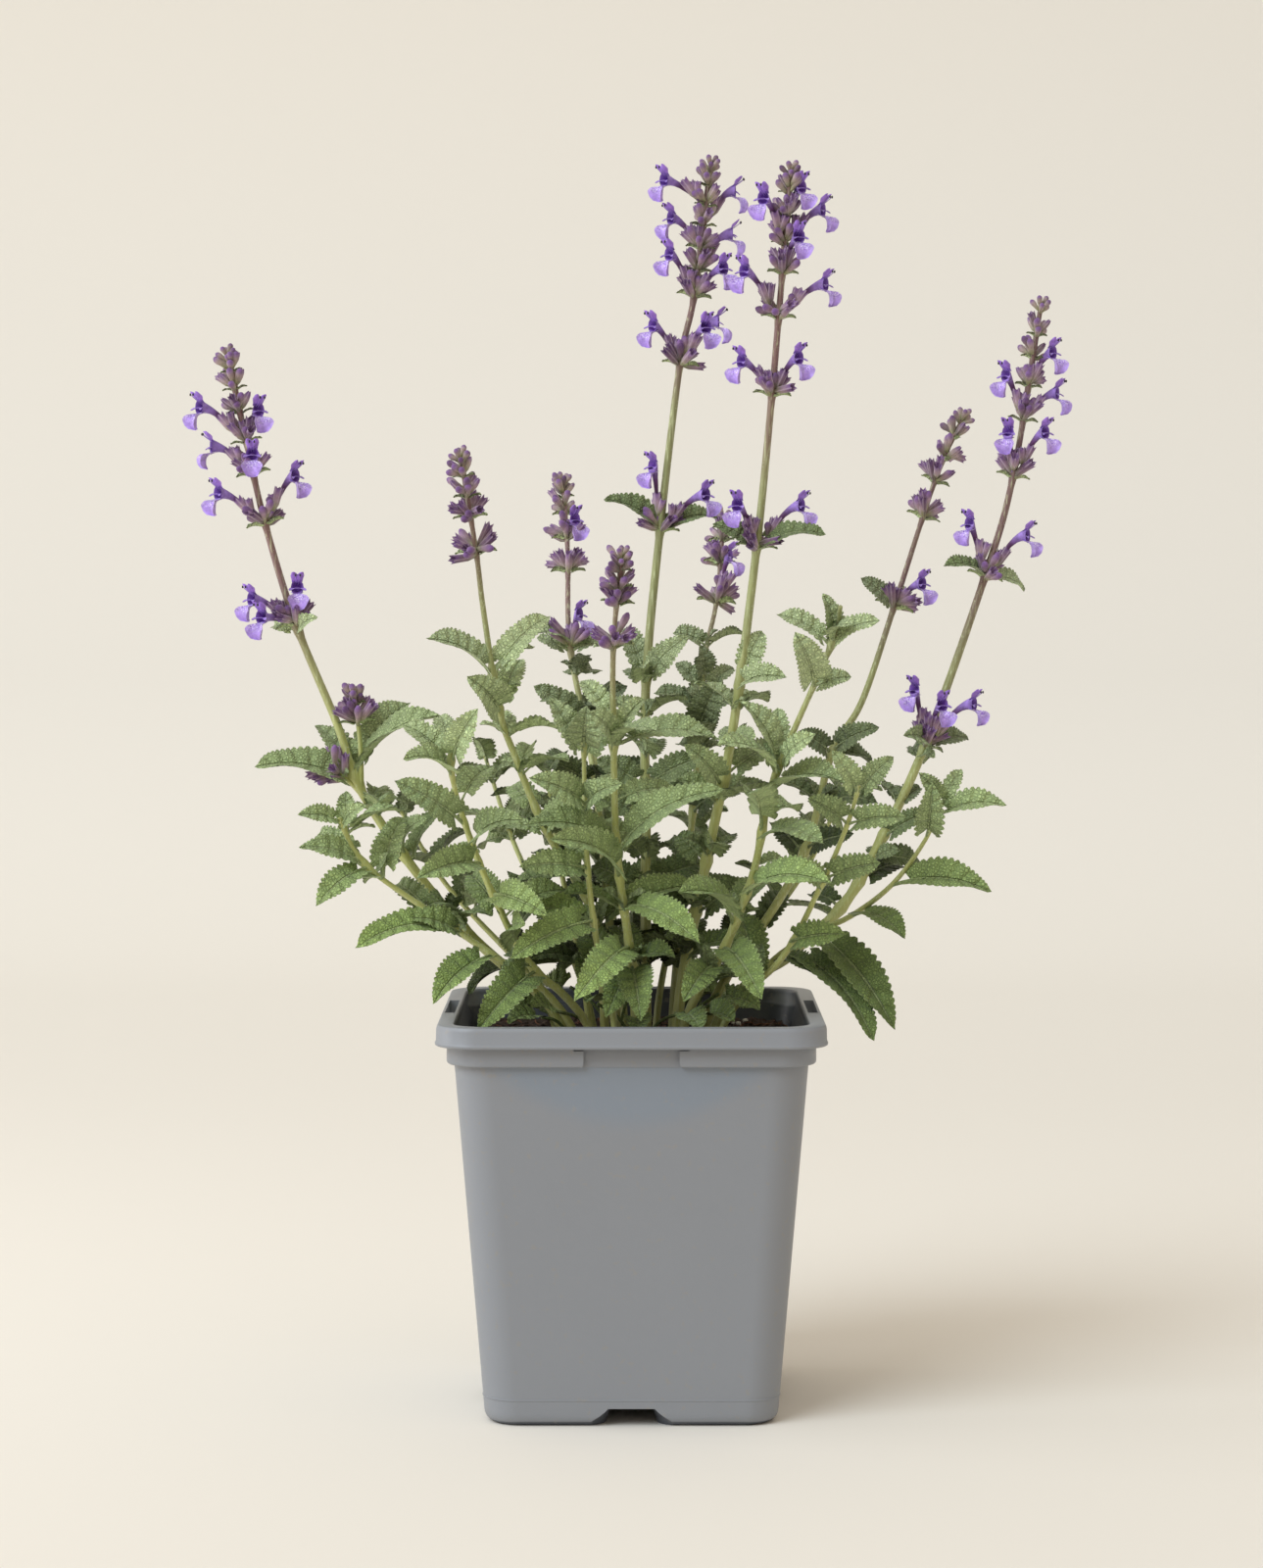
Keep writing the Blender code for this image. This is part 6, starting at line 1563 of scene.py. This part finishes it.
def growWhorl(whorl, cups, blades, chance):
    # calyces in two opposite sprays round the stem, from level to nearly upright, with two bracts
    path, node, late, look = whorl["path"], whorl["node"], whorl["late"], whorlLook
    axis = directionAt(path, whorl["z"])
    for i in range(round(look["many"] + (look["few"] - look["many"]) * late)):
        turn = 180 * (i % 2) + look["spread"] * chance.uniform(-1, 1) + 90 * (i % 4 == 3) * late
        outward = outwardAt(axis, math.radians(turn))
        way = unit(outward + axis * chance.uniform(*look["lean"]) * (1 + 0.4 * late))
        root = (pointAt(path, whorl["z"] + chance.uniform(-1.5, 2.0))
                + outward * look["root"] * whorl["radius"])
        size = calyxRule["length"] * (1 - look["shorter"] * late) * chance.uniform(*look["size"])
        thick = look["thick"] * (1 - 0.1 * late)
        isBud = chance.random() < look["buds"][0] + look["buds"][1] * late
        cup = budShape(root, way, size, thick) if isBud else calyxShape(root, way, size, thick, True)
        pile(cups[node], cup, chance.random(), late)
    base = pointAt(path, whorl["z"] - 1.5)
    size = float(np.interp(late, [0, 1], look["bract"]))
    for side in (90, 270):
        outward = outwardAt(axis, math.radians(side + chance.uniform(-20, 20)))
        bract = {"root": base + outward * 0.4, "end": base + unit(outward + axis * look["bractLean"]) * size,
                 "width": size * look["bractWide"], "face": axis}
        pile(blades[node], leafShape(bract, chance), 0.6 + 0.4 * chance.random(), 0.3)
    for i in range(look["tipBuds"] if late == 1 else 0):
        outward = outwardAt(axis, look["tipTurn"] * i)
        way = unit(axis + outward * (0.25 + 0.17 * (look["tipBuds"] - i)))
        root = path[-1] - axis * (4.4 - 0.45 * i) + outward * 0.3
        pile(cups[node], budShape(root, way, look["tipSize"] - 0.2 * i, 1.0), chance.random(), 1.0)


def growPlant():
    chance = random.Random(seed + 1)
    green, blades, cups, petals = ({node: heapOf() for node in frame["nodes"]} for _ in range(4))
    darks, down = heapOf(), heapOf()
    growStems(green, down, chance)
    growLeaves(blades, chance)
    for cup in calyces:
        isOpen = cup["late"] <= calyxRule["lateShare"]
        shape = calyxShape(cup["root"], cup["axis"], cup["length"], cup["radius"], isOpen)
        pile(cups[cup["node"]], shape, chance.random(), cup["late"])
    for flower in flowers:
        addFlower(flower, petals[flower["node"]], cups[flower["node"]], darks, chance)
    for whorl in whorlPlaces:
        growWhorl(whorl, cups, blades, chance)
    parts = (("stalk", green, stemPaint, "leaf_green"), ("leaves", blades, leafPaint, "leaf_green"),
             ("calyces", cups, calyxPaint, "flower_violet"), ("petals", petals, petalPaint, "flower_violet"))
    for node in sorted(set(frame["nodes"]) - {"pot", "soil"}):
        for label, heaps, paint, slotName in parts:
            if heaps[node]["count"]:
                makePiece(node + "_" + label, heaps[node], paint, [node])
    makePiece("anthers", darks, darkPaint)
    makePiece("stem_down", down, downPaint)
    total = sum(len(o.data.loops) - 2 * len(o.data.polygons) for o in bpy.data.objects if o.type == "MESH")
    print("plant done,", total, "triangles in all")


growPlant()
